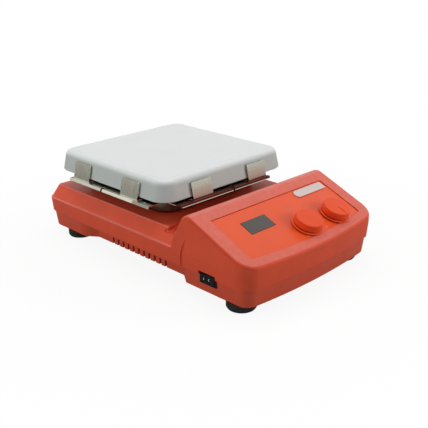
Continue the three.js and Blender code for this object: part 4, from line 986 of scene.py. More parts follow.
def head_solid(sizes, low, inset=0.0):
    """The control head as a solid, drawn in by an inset."""
    profile = HeadProfile(sizes, inset)
    sides = profile.stations(front_corner(sizes)[1])
    widen, drawn_in = [1.0] * len(sides), [0.0] * len(sides)
    if not inset:
        spread = sizes.back_round / sizes.rim
        widen = [1 + spread * share_between(y, profile.ridge_y, profile.rear) for y in sides]
        for index, turn in enumerate(profile.edge_turns):
            drawn_in[index] = sizes.back_edge * (1 - math.sin(turn))

    def half(extra, shares):
        beside = zip(sides, shares, drawn_in)
        side = [Vector((HALF - inset - drawn - extra * share, y)) for y, share, drawn in beside]
        return side + front_half(sizes, inset + extra)

    def level(extra, z):
        return [(x, y, z) for x, y in mirrored_ring(half(extra, [1.0] * len(sides)))]

    in_front = len(front_half(sizes, inset))
    drops = widen + [1.0] * in_front
    drops += drops[::-1]

    def under_top(extra, drop):
        ring = mirrored_ring(half(extra, widen))
        return [(x, y, profile.height(y) - drop * share) for (x, y), share in zip(ring, drops)]

    belt_rise, foot_round, belt_round = 0.001, 0.0005, 0.001
    band = rounded(
        [*band_foot(sizes, low), (0.0, sizes.belt), (0.0, sizes.belt + belt_rise)],
        (foot_round, belt_round), steps=2)
    rings = [level(extra, z) for extra, z in band]
    if not inset:
        rings += crease_rings(sizes, profile, sides, in_front, under_top)
    rim, margin = sizes.rim, 0.0008
    for turn in quarter_turns(FILLET_STEPS):
        rings.append(under_top(rim * (1 - math.cos(turn)), rim * (1 - math.sin(turn))))
    rings.append(under_top(rim + margin, 0.0))
    bm, top = loft(rings, last_cap=False)
    rungs = (top[0], top[len(top) // 2])
    bmesh.ops.bridge_loops(bm, edges=[edge for edge in top if edge not in rungs])
    return close_shape(bm)


def crease_rings(sizes, profile, sides, in_front, under_top):
    """The fine groove under the panel's rim, which fades out behind the ridge and in the middle."""
    depth, high = sizes.crease_depth, sizes.crease_drop
    low, reach = high + sizes.crease_height, 0.004
    front_fade_steps = 11
    fade = [1 - share_between(y, profile.ridge_y - reach, profile.ridge_y + reach) for y in sides]
    fade += [1 - share_between(step, 0, front_fade_steps) for step in range(in_front)]
    fade += fade[::-1]

    def creased(extra, drop):
        pairs = zip(under_top(0.0, drop), under_top(extra, drop), fade)
        return [Vector(outer).lerp(Vector(inner), share) for outer, inner, share in pairs]

    section = ((0.0, low + depth), (depth, low), (depth, high + depth / 2), (0.0, high))
    return [creased(extra, drop) for extra, drop in section]


def rear_solid(sizes, low, inset=0.0):
    """The deck with its shoulders and band as a solid, drawn in by an inset."""
    overlap, top_run = 0.012, 0.008
    y_front = FRONT + sizes.head_length - inset - overlap
    top, ledge, near, hair = sizes.deck - inset, sizes.belt_ledge, 0.0003, 0.00003
    foot_round = 0.0005
    line = rounded(
        [*band_foot(sizes, low), (hair, sizes.belt - 2 * near), (0.0, sizes.belt),
         (ledge, sizes.belt + EASED), (ledge + near + hair, sizes.belt + 3 * near),
         (sizes.deck_inset, top), (sizes.deck_inset + top_run, top)],
        (foot_round, CRISP, near, CRISP, CRISP, sizes.deck_round), steps=4)
    rings = [[(x, y, z) for x, y in mirrored_ring(rear_half(sizes, inset + extra, y_front))]
             for extra, z in line]
    return without(loft(rings), cross_groove(sizes, inset, y_front))


def cross_groove(sizes, inset, y_front):
    """The tool for the groove between head and deck, whose floor falls towards its two ends."""
    deck_front = FRONT + sizes.head_length + sizes.groove_width + inset
    edge_x = HALF - sizes.deck_inset + sizes.deck_round - inset
    fall_run, level_run, step_down, steps = 0.012, 0.0035, 0.001, 6
    fall_start, fall_end = edge_x - fall_run, edge_x - level_run
    corner, foot, mouth_round, corner_slack = sizes.groove_corner, sizes.groove_foot, 0.0004, 0.0006
    floor = sizes.deck - sizes.groove_drop - inset

    def mouth(shift):
        ahead = [Vector((x, y_front - OVERRUN)) for x in (fall_start, fall_end, HALF + OVERRUN)]
        line = rounded(
            [(HALF + OVERRUN, deck_front + corner), (edge_x + shift, deck_front + corner),
             (edge_x + shift, deck_front - shift), (0.0, deck_front - shift)],
            (mouth_round, corner - corner_slack), steps)[:-1]
        return mirrored_ring([*ahead, *line, Vector((fall_start, deck_front - shift))])

    def raised(x, z):
        rise = sizes.groove_fall * (1 - share_between(abs(x), fall_start, fall_end))
        return z + rise * (1 - share_between(z, sizes.deck - step_down, sizes.deck))

    levels = [(foot * (1 - math.sin(turn)), floor + foot * (1 - math.cos(turn)))
              for turn in quarter_turns(steps)]
    levels.append((0.0, sizes.deck + OVERRUN))
    return loft([[(x, y, raised(x, z)) for x, y in mouth(shift)] for shift, z in levels])


def side_seam(sizes, side, steps=30, ring_sides=16):
    """The tool for the curved groove in one side of the head, which fades out at its top."""
    lowest, highest = math.radians(-5), math.radians(42)
    fade_share, floor_slack = 0.45, 0.0001
    rings = []
    for step in range(steps + 1):
        share = step / steps
        turn = lowest + (highest - lowest) * share
        across, up = math.cos(turn), math.sin(turn)
        y, z = FRONT + sizes.seam_ahead + sizes.seam_sweep * across, sizes.seam_rise + sizes.seam_sweep * up
        drawn_in = sizes.draft * max(0.0, (sizes.belt - z) / (sizes.belt - sizes.parting))
        depth = sizes.seam_depth * min(1.0, (1.0 - share) / fade_share) - floor_slack
        middle = HALF - drawn_in + sizes.seam - depth
        rings.append([
            (side * (middle + sizes.seam * math.cos(around)),
             y + across * sizes.seam * math.sin(around), z + up * sizes.seam * math.sin(around))
            for around in (FULL * index / ring_sides for index in range(ring_sides))])
    return loft(rings)


def overlay_outline(controls, housing, shrink, bow_steps=24):
    """The overlay's outline in the panel's frame, with its lower edge bowed like the front."""
    radius, _ = bow_circle(housing)

    def lower(x):
        bow = radius - math.sqrt(radius ** 2 - x ** 2)
        return controls.front_margin + shrink + bow / math.cos(TILT)

    corner, steps = controls.corner, 6
    inner = HALF - controls.side_margin - shrink - corner
    low = lower(inner) + corner
    top = controls.top_run - shrink - corner
    across = [inner * (2 * step / bow_steps - 1) for step in range(bow_steps + 1)]
    return [
        *arc(-inner, low, corner, 2 * QUARTER, 3 * QUARTER, steps)[:-1],
        *(Vector((x, lower(x))) for x in across),
        *arc(inner, low, corner, 3 * QUARTER, 4 * QUARTER, steps)[1:],
        *arc(inner, top, corner, 0.0, QUARTER, steps),
        *arc(-inner, top, corner, QUARTER, 2 * QUARTER, steps),
    ]


def knob_places(edge):
    """Both knobs' middles in the panel's frame, heat first."""
    turn = panel_frame(edge).inverted()
    return [turn @ Vector(JOINTS[f"{kind}_turn"]["pos_m"]) for kind in KNOBS]


def on_panel(bm, edge):
    bm.transform(panel_frame(edge))
    return bm


def panel_box(node, edge):
    """The lowest and highest corner of a solid in the panel's frame."""
    turn = panel_frame(edge).inverted()
    corners = [turn @ vertex.co for vertex in frame["nodes"][node].data.vertices]
    return (Vector(min(c[axis] for c in corners) for axis in range(3)),
            Vector(max(c[axis] for c in corners) for axis in range(3)))


def rear_window():
    """The opening in the rear walls."""
    inset, sill, half_height, corner = 0.007, 0.005, 0.0155, 0.002
    outline = round_rect(REAR_HIGH.x - inset, half_height, corner)
    cutter = slab(outline, 0.0, REAR - REAR_HIGH.y + OVERRUN)
    return facing_rear(cutter, 0.0, REAR_HIGH.y, BASE_LOW.z + sill + half_height)


def switch_pocket():
    """The seat and the hole for the switch in the left walls."""
    seat_depth, hole_depth, rim = 0.0019, 0.012, 0.001
    low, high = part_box("switch_frame")
    seat = block(
        (-HALF - OVERRUN, low.y - SEAT, low.z - SEAT), (low.x + seat_depth, high.y + SEAT, high.z + SEAT))
    hole = block(
        (-HALF - OVERRUN, low.y - SEAT + rim, low.z - SEAT + rim),
        (low.x + hole_depth, high.y + SEAT - rim, high.z + SEAT - rim))
    return joined(seat, hole)


def foot_middles():
    """Every foot's name and its middle."""
    names = [name for name in frame["nodes"] if name.startswith("foot_") and "screw" not in name]
    for name in sorted(names):
        low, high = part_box(name)
        yield name, (low.x + high.x) / 2, (low.y + high.y) / 2


def post_places():
    """The four posts' middles, seen from above."""
    low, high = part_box("plate_post_rear_right")
    reach = (low.x + high.x) / 2
    return [(x, PLATE_Y + y) for x in (-reach, reach) for y in (-reach, reach)]


def upper_housing(scene):
    housing, controls = scene.stirrer_housing, scene.stirrer_controls
    edge, through, display_frame, screw_hole = housing.edge, 0.01, 0.0025, 0.0025
    seam = housing.parting
    shell = joined(head_solid(housing, seam), rear_solid(housing, seam))
    inside = (housing, seam - OVERRUN, housing.wall)
    room = joined(head_solid(*inside), rear_solid(*inside))
    pocket_floor = -controls.sink - controls.sheet - SEAT
    display_low, display_high = panel_box("display_window", edge)
    cutters = [
        slab(overlay_outline(controls, housing, 0.0), pocket_floor, through),
        block((display_low.x + display_frame, display_low.y + display_frame, -through),
              (display_high.x - display_frame, display_high.y - display_frame, through)),
        *(drum(BUSH_HOLE, -through, through, place.x, place.y) for place in knob_places(edge)),
    ]
    tools = [on_panel(cutter, edge) for cutter in cutters]
    tools += [switch_pocket(), rear_window(), *(side_seam(housing, side) for side in SIGNS)]
    deck = (housing.deck - through, housing.deck + through)
    tools.append(drum(NECK_HOLE, *deck, 0.0, PLATE_Y, sides=64))
    tools += [drum(screw_hole, *deck, x, y) for x, y in post_places()]
    finish_piece(
        "upper_housing_shell", without(shell, room, *tools), "housing_paint",
        ["upper_housing"], bevel=0.0004, bevel_angle=42.0)


def vent_recess(side, housing, base, margin):
    """The slanted recess along one side of the base, drawn out by a margin."""
    bend = 0.004
    near, far = HALF - base.vent_inset - margin, HALF + OVERRUN
    middle = PLATE_Y - base.vent_offset
    low = middle - base.vent_length / 2 - margin
    high = middle + base.vent_length / 2 + margin
    line = [(far, low - base.vent_slope), (near, low), (near, high), (far, high + base.vent_slope)]
    outline = [(side * x, y) for x, y in rounded(line, (bend, bend), steps=6)]
    return slab(outline, BASE_LOW.z - OVERRUN, housing.parting - base.vent_ceiling + margin)


def vent_slots(side, base, count=11):
    """The row of slots through the vent wall."""
    wall, through, half = side * (HALF - base.vent_inset), 0.006, base.slot_width / 2
    slots = []
    for index in range(count):
        y = PLATE_Y - base.vent_offset + (index - (count - 1) / 2) * base.slot_pitch
        slots.append(block(
            (wall - through, y - half, BASE_LOW.z - OVERRUN),
            (wall + through, y + half, BASE_LOW.z + base.slot_height)))
    return together(slots)


def base_cover(scene):
    housing, base = scene.stirrer_housing, scene.stirrer_base
    bottom, top = BASE_LOW.z, housing.parting - SEAT
    inset, floor_run, top_run, top_round, screw_hole = base.step + base.taper, 0.006, 0.001, 0.0004, 0.0026

    def level(extra, z):
        return [(x, y, z) for x, y in whole_outline(housing, extra)]

    line = rounded(
        [(inset + floor_run, bottom), (inset, bottom), (base.step, top), (base.step + top_run, top)],
        (base.bottom_round, top_round))
    outside = loft([level(extra, z) for extra, z in line])
    lip_inset = housing.draft + housing.wall + SEAT
    lip = loft([level(lip_inset, top - housing.wall), level(lip_inset, housing.parting + base.lip)])
    inner = lip_inset + base.lip_wall
    room = loft([
        level(inset + housing.wall, bottom + housing.wall), level(inner, top - housing.wall),
        level(inner, housing.parting + base.lip + OVERRUN)])
    margins = [vent_recess(side, housing, base, housing.wall) for side in SIGNS]
    tools = [vent_recess(side, housing, base, 0.0) for side in SIGNS]
    tools += [vent_slots(side, base) for side in SIGNS]
    tools += [switch_pocket(), rear_window()]
    for _, x, y in foot_middles():
        tools.append(drum(screw_hole, bottom - OVERRUN, bottom + housing.wall + OVERRUN, x, y))
    bm = without(joined(outside, lip), without(room, *margins), *tools)
    finish_piece("base_cover_shell", bm, "base_paint", ["base_cover"], bevel=0.0005)


def foot(name, x, y, base):
    """A rubber foot with a groove round it and a stepped well for its screw."""
    low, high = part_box(name)
    radius, top, waist, groove = (high.x - low.x) / 2, high.z, (low.z + high.z) / 2, base.groove
    well, hole, web = 0.0051, 0.0026, 0.003
    toe_in, toe_height, well_round, top_round = 0.0015, 0.0022, 0.0006, 0.0008
    outside = rounded(
        [(well, low.z), (radius - toe_in, low.z), (radius, low.z + toe_height), (radius, waist - groove),
         (radius - groove, waist), (radius, waist + groove), (radius, top), (hole, top)],
        (well_round, base.foot_round, EASED, EASED, EASED, top_round), steps=4)
    seat = top + SEAT - web
    bm = turned([*outside, (hole, seat), (well, seat), (well, low.z)], x, y)
    finish_piece(f"{name}_rubber", bm, "foot_rubber", [name])


def foot_screw(name, x, y):
    """A pan-head screw that points up, with a cross recess in its head."""
    low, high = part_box(name)
    head, shank, head_height = (high.x - low.x) / 2, 0.0023, 0.003
    head_top = low.z + head_height
    crown_share, crown_rise, dome, rim, point = 0.75, 0.0012, 0.0008, 0.0004, 0.0005
    arm_share, width_share, depth_share = 0.62, 0.12, 0.6
    body = turned(rounded(
        [(0.0, low.z), (head * crown_share, low.z), (head, low.z + crown_rise), (head, head_top),
         (shank, head_top), (shank, high.z), (0.0, high.z)],
        (dome, rim, EASED, EASED, point), steps=3), x, y, sides=48)
    arm, width, depth = head * arm_share, head * width_share, (head_top - low.z) * depth_share
    cross = joined(
        block((x - arm, y - width, low.z - OVERRUN), (x + arm, y + width, low.z + depth)),
        block((x - width, y - arm, low.z - OVERRUN), (x + width, y + arm, low.z + depth)))
    finish_piece(
        f"{name}_head", without(body, cross), "zinc_plate", [name], bevel=0.0001)


def feet(scene):
    for name, x, y in list(foot_middles()):
        foot(name, x, y, scene.stirrer_base)
        foot_screw(name.replace("foot_", "foot_screw_"), x, y)


# Plate and shield


def square(half, radius, z, steps=10):
    return [(x, y, z) for x, y in round_rect(half, half, radius, 0.0, PLATE_Y, steps)]


def square_rings(line, half, corner, tightest=0.002):
    """A line of reaches and heights drawn round the plate's middle, with corners that follow the reach."""
    return loft([square(reach, max(corner + reach - half, tightest), z) for reach, z in line])


def skirt_half(plate, z):
    """Half the skirt's width at a height."""
    straight = PLATE_HIGH.z - plate.edge - PLATE_LOW.z
    return plate.width / 2 + plate.flare * (PLATE_HIGH.z - plate.edge - z) / straight


def top_plate(scene):
    plate = scene.stirrer_plate
    half, top, low = plate.width / 2, PLATE_HIGH.z, PLATE_LOW.z
    foot_half, under = skirt_half(plate, low), top - plate.thickness
    inner_top, inner_foot = skirt_half(plate, under) - plate.skirt_wall, foot_half - plate.skirt_wall
    cap, edge_slack, step_run, inner_round = 0.02, 0.0008, 0.0002, 0.002
    face = half - plate.edge - edge_slack
    line = rounded(
        [(inner_top - cap, under), (inner_top, under), (inner_foot, low), (foot_half, low),
         (half, top - plate.step), (face + step_run, top - plate.step), (face, top), (half - cap, top)],
        (inner_round, plate.skirt_round, plate.skirt_round, plate.edge - edge_slack, CRISP, EASED), steps=8)
    bore, boss, boss_foot, sunk = 0.0025, 0.007, 0.095, 0.003
    bosses = [hollow_ring(boss, bore, boss_foot, under + sunk, x, y, sides=48) for x, y in post_places()]
    finish_piece(
        "top_plate_glazed", joined(square_rings(line, half, plate.corner), *bosses),
        "plate_glaze", ["top_plate"])


def wing_level(plate):
    """The top of the shield's wings, under the foot of the skirt."""
    return PLATE_LOW.z - plate.clearance


def sloping_lip(plate, reach, top, inner):
    """The section of a side wing: flat, then bent down to a sloping lip."""
    sheet, bend_x = plate.sheet, reach - plate.lip_run
    slope = math.atan2(plate.lip_drop, plate.lip_run)
    outer = rounded([(inner, top), (bend_x, top), (reach, top - plate.lip_drop)], (plate.bend,), steps=5)
    under = rounded(
        [(reach - sheet * math.sin(slope), top - plate.lip_drop - sheet * math.cos(slope)),
         (bend_x - sheet * math.tan(slope / 2), top - sheet), (inner, top - sheet)],
        (plate.bend - sheet,), steps=5)
    return [*outer, *under]


def hemmed_lip(plate, reach, top, inner):
    """The section of a front or rear wing: flat, then bent sharply down to a steep lip with a fine hem."""
    sheet, hem = plate.sheet, plate.hem
    low, face = top - plate.lip_drop, reach - hem
    corner = face - plate.cross_run
    outer = rounded([(inner, top), (corner, top), (face, low + hem), (reach, low), (face - sheet, low)],
                    (plate.bend - sheet, CRISP, CRISP), steps=3)
    return [*outer, (corner - sheet, top - sheet), (inner, top - sheet)]


def shield_wing(plate, crosswise):
    """A wing on the +X side with its lip and cuts; a crosswise one is longer towards -Y."""
    reach, top, sheet = SHIELD_HIGH.x, wing_level(plate), plate.sheet
    near, far, through = -plate.wing_short, plate.wing_long, 0.01
    section = (hemmed_lip if crosswise else sloping_lip)(plate, reach, top, plate.pan / 2 - plate.pan_corner)
    bm = slab(section, -far, -near)
    bm.transform(Matrix.Rotation(QUARTER, 4, "X"))
    close_shape(bm)
    half, low = plate.notch_width / 2, top - through
    cuts = [block((reach - plate.notch_length, -half, low), (reach + OVERRUN, half, top + OVERRUN))]
    if crosswise:
        slant_run, slant_y = 0.009, far - plate.wing_slant
        cuts.append(slab(
            [(reach + OVERRUN, far + OVERRUN), (reach - slant_run, far + OVERRUN), (reach, slant_y),
             (reach + OVERRUN, slant_y)], low, top + through))
    root = skirt_half(plate, top) + plate.tab_gap + sheet
    width = plate.relief_width / 2
    for along in tab_places(plate):
        for side in SIGNS:
            y = along + side * (plate.tab_width + plate.relief_width) / 2
            cuts.append(block(
                (root - plate.relief_length, y - width, low), (root, y + width, top + OVERRUN)))
    hole_inset, hole_end = 0.004, 0.012
    cuts.append(drum(plate.hole, low, top + OVERRUN, reach - plate.lip_run - hole_inset, far - hole_end))
    bm = without(bm, *cuts)
    if crosswise:
        bmesh.ops.scale(bm, verts=bm.verts, vec=(1, -1, 1))
        close_shape(bm)
    bmesh.ops.translate(bm, verts=bm.verts, vec=(0, PLATE_Y, 0))
    return bm


def tab_places(plate):
    """Where the middles of a side's two tabs lie along it."""
    return [side * plate.tab_spacing / 2 for side in SIGNS]


def spring_tab(plate, along, stand):
    """A tab that stands up from the wing beside the skirt, at its own distance from the skirt's top."""
    low, high = wing_level(plate) - plate.sheet, SHIELD_HIGH.z
    half, corner, height = plate.tab_width / 2, plate.tab_corner, high - low
    outline = rounded(
        [(-half, 0.0), (-half, height), (half, height), (half, 0.0)], (corner, corner), steps=6)
    bm = slab(outline, 0.0, plate.sheet)
    root_x = skirt_half(plate, low) + plate.tab_gap
    lean = (skirt_half(plate, high) + stand - root_x) / height
    bm.transform(Matrix(((0, lean, 1, root_x), (1, 0, 0, PLATE_Y + along), (0, 1, 0, low), (0, 0, 0, 1))))
    return close_shape(bm)


def shield_side(plate, quarter):
    """A wing with its tabs, turned by quarters about the plate's middle."""
    crosswise = quarter % 2
    stand = plate.cross_stand if crosswise else plate.tab_stand
    tabs = [spring_tab(plate, along, stand) for along in tab_places(plate)]
    bm = joined(shield_wing(plate, crosswise), *tabs)
    middle = Matrix.Translation((0, PLATE_Y, 0))
    bm.transform(middle @ Matrix.Rotation(quarter * QUARTER, 4, "Z") @ middle.inverted())
    return bm


def heat_shield(scene):
    plate = scene.stirrer_plate
    half, corner, sheet = plate.pan / 2, plate.pan_corner, plate.sheet
    low, top, bend = SHIELD_LOW.z, wing_level(plate), plate.pan_bend
    floor_run, top_run, post_hole = 0.02, 0.001, 0.0063
    outside = rounded(
        [(half - floor_run, low), (half, low), (half, top), (half - top_run, top)], (bend, EASED), steps=5)
    inside = rounded(
        [(half - floor_run, low + sheet), (half - sheet, low + sheet), (half - sheet, top + OVERRUN)],
        (bend - sheet,), steps=5)
    wings = [shield_side(plate, quarter) for quarter in range(4)]
    floor = (low - OVERRUN, low + 2 * sheet)
    holes = [drum(post_hole, *floor, x, y) for x, y in post_places()]
    holes.append(drum(NECK_HOLE, *floor, 0.0, PLATE_Y, sides=64))
    bm = without(
        joined(square_rings(outside, half, corner), *wings), square_rings(inside, half, corner),
        together(holes))
    finish_piece(
        "heat_shield_sheet", bm, "shield_steel", ["heat_shield"],
        bevel=0.00015, bevel_angle=50.0)


# Controls


def overlay(scene):
    housing, controls = scene.stirrer_housing, scene.stirrer_controls
    edge = housing.edge
    low, high = -controls.sink - controls.sheet, -controls.sink
    film = slab(overlay_outline(controls, housing, SEAT), low, high)
    window_low, window_high = panel_box("display_window", edge)
    tools = [block(
        (window_low.x - SEAT, window_low.y - SEAT, low - OVERRUN),
        (window_high.x + SEAT, window_high.y + SEAT, high + OVERRUN))]
    tools += [drum(BUSH_HOLE, low - OVERRUN, high + OVERRUN, place.x, place.y)
              for place in knob_places(edge)]
    bm = on_panel(without(film, together(tools)), edge)
    finish_piece("panel_overlay", bm, "overlay_film", ["control_overlay"], bevel=0.00012)
    glass_edge = 0.00015
    glass = on_panel(block(window_low, window_high, glass_edge, segments=2), edge)
    finish_piece("display_pane", glass, "display_lens", ["display_window"])


def label(scene):
    """The bare label plate, with its round left end and a fine raised border."""
    edge, sink = scene.stirrer_housing.edge, scene.stirrer_controls.sink
    low, high = panel_box("label_plate", edge)
    radius, middle = (high.y - low.y) / 2, (high.y + low.y) / 2
    corner, end_steps, corner_steps = 0.001, 20, 5

    def outline(shrink):
        right = high.x - shrink - corner
        return [*arc(low.x + radius, middle, radius - shrink, QUARTER, 3 * QUARTER, end_steps),
                *arc(right, low.y + shrink + corner, corner, 3 * QUARTER, 4 * QUARTER, corner_steps),
                *arc(right, high.y - shrink - corner, corner, 0.0, QUARTER, corner_steps)]

    border, depth, soft = 0.0007, 0.00015, 0.00012
    levels = (
        (0.0, -sink), (0.0, high.z - soft), (soft, high.z), (border - soft, high.z),
        (border, high.z - depth))
    bm = loft([[(x, y, z) for x, y in outline(shrink)] for shrink, z in levels])
    finish_piece("label_plate_bare", on_panel(bm, edge), "label_foil", ["label_plate"])


def knob(name, place, body, has_pointer, scene):
    """A moulded knob with a flat face, a hollow underside, a hub and perhaps a pointer groove."""
    controls, edge = scene.stirrer_controls, scene.stirrer_housing.edge
    low, high = panel_box(name, edge)
    radius, base, rim = (high.x - low.x) / 2, low.z, low.z + SEAT
    face, bore_slack, hair = 0.0026, 0.0005, 0.00005
    inner, ceiling = radius - controls.knob_wall, high.z - face
    shaft, hub, socket_end = 0.0033, 0.0055, ceiling - bore_slack
    hub_rim, hub_foot, dome, toe = 0.0003, 0.0005, 0.0008, 0.0006
    profile = rounded(
        [(shaft, socket_end), (shaft, rim), (hub, rim), (hub, ceiling), (inner, ceiling), (inner, base),
         (radius, base), (radius - controls.knob_draft, high.z), (0.0, high.z)],
        (EASED, hub_rim, hub_foot, dome, EASED, toe, controls.knob_edge), steps=6)
    bm = turned([(0.0, socket_end), *profile], sides=128)
    if has_pointer:
        half_x, half_y = controls.pointer_width / 2, controls.pointer_length / 2
        y = half_y - (radius - controls.pointer_inset)
        bm = without(bm, slab(
            round_rect(half_x, half_y, half_x - hair, 0.0, y), high.z - controls.pointer_depth,
            high.z + OVERRUN))
    bmesh.ops.translate(bm, verts=bm.verts, vec=(place.x, place.y, 0.0))
    finish_piece(f"{name}_moulded", on_panel(bm, edge), "knob_plastic", [name], body)


def collar(name, place, scene):
    """The glossy ring under a knob: a rounded rim over a narrower foot."""
    edge = scene.stirrer_housing.edge
    low, high = panel_box(name, edge)
    radius, foot_radius, rim_round = (high.x - low.x) / 2, 0.0135, 0.0006
    profile = rounded(
        [(BUSH_HOLE, low.z), (foot_radius, low.z), (foot_radius, SEAT), (radius, SEAT), (radius, high.z),
         (BUSH_HOLE, high.z)],
        (CRISP, CRISP, EASED, rim_round), steps=5)
    bm = turned([*profile, (BUSH_HOLE, low.z)], place.x, place.y, sides=128)
    finish_piece(f"{name}_ring", on_panel(bm, edge), "collar_gloss", [name])


def knobs(scene):
    places = list(zip(KNOBS, knob_places(scene.stirrer_housing.edge)))
    for kind, place in places:
        knob(f"{kind}_knob", place, f"{kind}_button", kind == "stir", scene)
    for kind, place in places:
        collar(f"{kind}_knob_collar", place, scene)


def panel_marks(scene):
    """Small plain marks on the film: bars over the heat knob, a ring over the stir knob, a dot each."""
    controls, edge = scene.stirrer_controls, scene.stirrer_housing.edge
    ground, top = -controls.sink, controls.print_height - controls.sink
    size, dot, bar_share, outer_share, inner_share = controls.mark, 0.0007, 1 / 14, 0.5, 0.38
    heat, stir = knob_places(edge)
    bars_right, bars_up, ring_right, ring_up = 0.0022, 0.0299, 0.0068, 0.0293
    heat_dot, stir_dot = (0.0122, 0.0137), (0.0271, 0.0119)
    bar_x, bar_y = heat.x + bars_right, heat.y + bars_up
    half = size * bar_share
    low, high = bar_y - size / 2, bar_y + size / 2
    bars = [block((middle - half, low, ground), (middle + half, high, top))
            for middle in (bar_x - size / 3, bar_x, bar_x + size / 3)]
    ring = hollow_ring(
        size * outer_share, size * inner_share, ground, top, stir.x + ring_right, stir.y + ring_up)
    dots = [drum(dot, ground, top, knob.x - left, knob.y - down, sides=24)
            for knob, (left, down) in ((heat, heat_dot), (stir, stir_dot))]
    finish_piece("knob_marks", on_panel(together([*bars, ring]), edge), "grey_print")
    finish_piece("zero_dots", on_panel(together(dots), edge), "pale_print")


def rocker_switch(scene):
    """The switch in the left side: a bezel with a deep well, and a two-sided rocker."""
    low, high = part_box("switch_frame")
    flange, overlap, inset, well, back, bezel_edge = 0.0016, 0.0008, 0.0013, 0.0018, 0.001, 0.0005
    seat = low.x + flange
    bezel = block(low, (seat, high.y, high.z), bezel_edge, segments=3)
    can = block((seat - overlap, low.y + inset, low.z + inset), (high.x, high.y - inset, high.z - inset))
    room = block(
        (low.x - OVERRUN, low.y + well, low.z + well), (high.x - back, high.y - well, high.z - well))
    finish_piece(
        "switch_bezel", without(joined(bezel, can), room), "black_plastic",
        ["switch_frame"], bevel=0.00015)
    rocker(scene.stirrer_controls)


def rocker(controls):
    """The rocker with its two faces, and a bar and a ring printed on them."""
    low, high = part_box("switch_rocker")
    tilt = math.radians(JOINTS["power_rock"]["range_deg"][1]) / 2
    end_gap, deep, crest = 0.0006, 0.0023, 0.03
    half_y, half_z = (high.y - low.y) / 2 - end_gap, (high.z - low.z) / 2
    rise = half_y * math.tan(tilt)
    face = rounded([(-deep - rise, half_y), (-deep, 0.0), (-deep - rise, -half_y)], (crest,), steps=10)
    outline = [(deep, -half_y * math.cos(tilt)), (deep, half_y * math.cos(tilt)), *face]
    turn = Matrix.Translation(JOINTS["power_rock"]["pos_m"]) @ Matrix.Rotation(tilt, 4, "Z")
    bm = slab(outline, -half_z, half_z)
    bm.transform(turn)
    finish_piece(
        "rocker_moulded", bm, "black_plastic", ["switch_rocker"], "rocker",
        bevel=controls.rocker_round, segments=3)
    thick, tall, ring_outer, ring_inner, bar_share, ring_share = 0.0004, 0.0027, 0.0014, 0.0009, 0.5, -0.28
    bar = block((-thick, -tall / 2, 0.0), (thick, tall / 2, controls.print_height))
    ring = hollow_ring(ring_outer, ring_inner, 0.0, controls.print_height)
    outwards = Matrix(((0, 0, -1, 0), (-1, 0, 0, 0), (0, 1, 0, 0), (0, 0, 0, 1)))
    for mark, share in ((bar, bar_share), (ring, ring_share)):
        y = share * half_y
        stand = Matrix.Translation((-deep - abs(y) * math.tan(tilt), y, 0.0))
        mark.transform(turn @ stand @ Matrix.Rotation(-math.copysign(tilt, share), 4, "Z") @ outwards)
    marks = together([bar, ring])
    bmesh.ops.recalc_face_normals(marks, faces=marks.faces)
    finish_piece("rocker_marks", marks, "white_print", body="rocker")


# Rear sockets


def rear_panel():
    low, high = REAR_LOW, REAR_HIGH
    plate_edge, probe_hole, probe_reach = 0.0002, 0.0068, 0.006
    openings = (("power_inlet", 0.0009, 0.0007), ("serial_socket", 0.0067, 0.0017))
    tools = []
    for name, margin, drop in openings:
        node_low, node_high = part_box(name)
        tools.append(block(
            (node_low.x + margin, low.y - OVERRUN, node_low.z + drop),
            (node_high.x - margin, high.y + OVERRUN, node_high.z - drop)))
    probe_low, probe_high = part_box("probe_socket")
    tools.append(lying(
        drum(probe_hole, 0.0, probe_reach), (probe_low.x + probe_high.x) / 2, low.y - OVERRUN,
        (probe_low.z + probe_high.z) / 2))
    bm = without(block(low, high, plate_edge, segments=1), *tools)
    finish_piece("rear_plate", bm, "zinc_plate", ["rear_panel"], bevel=0.0002)


def inlet():
    """The power inlet: a flange, a can with the plug's mouth and the drawer's slot, and three pins."""
    low, high = INLET_LOW, INLET_HIGH
    face, middle = high.y, (low.x + high.x) / 2
    flange_depth, flange_edge, overlap, side_inset, end_inset = 0.0016, 0.0006, 0.0008, 0.00125, 0.001
    flange = block((low.x, face - flange_depth, low.z), high, flange_edge, segments=3)
    can = block(
        (low.x + side_inset, low.y, low.z + end_inset),
        (high.x - side_inset, face - overlap, high.z - end_inset))
    half, chamfer, depth, roof, sill = 0.01075, 0.0035, 0.016, 0.002, 0.0175
    top, bottom = high.z - roof, high.z - sill
    outline = [
        (-half, bottom), (half, bottom), (half, top - chamfer), (half - chamfer, top), (chamfer - half, top),
        (-half, top - chamfer)]
    mouth = facing_rear(slab(outline, 0.0, depth + OVERRUN), middle, face - depth, 0.0)
    drawer_low, drawer_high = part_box("fuse_drawer")
    slot_gap, slot_depth = 0.0015, 0.0185
    slot = block(
        (drawer_low.x - slot_gap, face - slot_depth, drawer_low.z - SEAT),
        (drawer_high.x + slot_gap, face + OVERRUN, drawer_high.z + SEAT))
    finish_piece(
        "inlet_housing", without(joined(flange, can), mouth, slot), "black_plastic",
        ["power_inlet"], bevel=0.0002)
    pitch, rise, half_x, half_z, foot_y, tip_y, pin_edge = 0.007, 0.002, 0.001, 0.002, 0.0165, 0.004, 0.0004
    pins = []
    for side in (-1, 0, 1):
        x, z = middle + side * pitch, (bottom + top) / 2 + (-rise if side else rise)
        pins.append(block(
            (x - half_x, face - foot_y, z - half_z), (x + half_x, face - tip_y, z + half_z),
            pin_edge, segments=2))
    finish_piece("inlet_pins", together(pins), "brass")


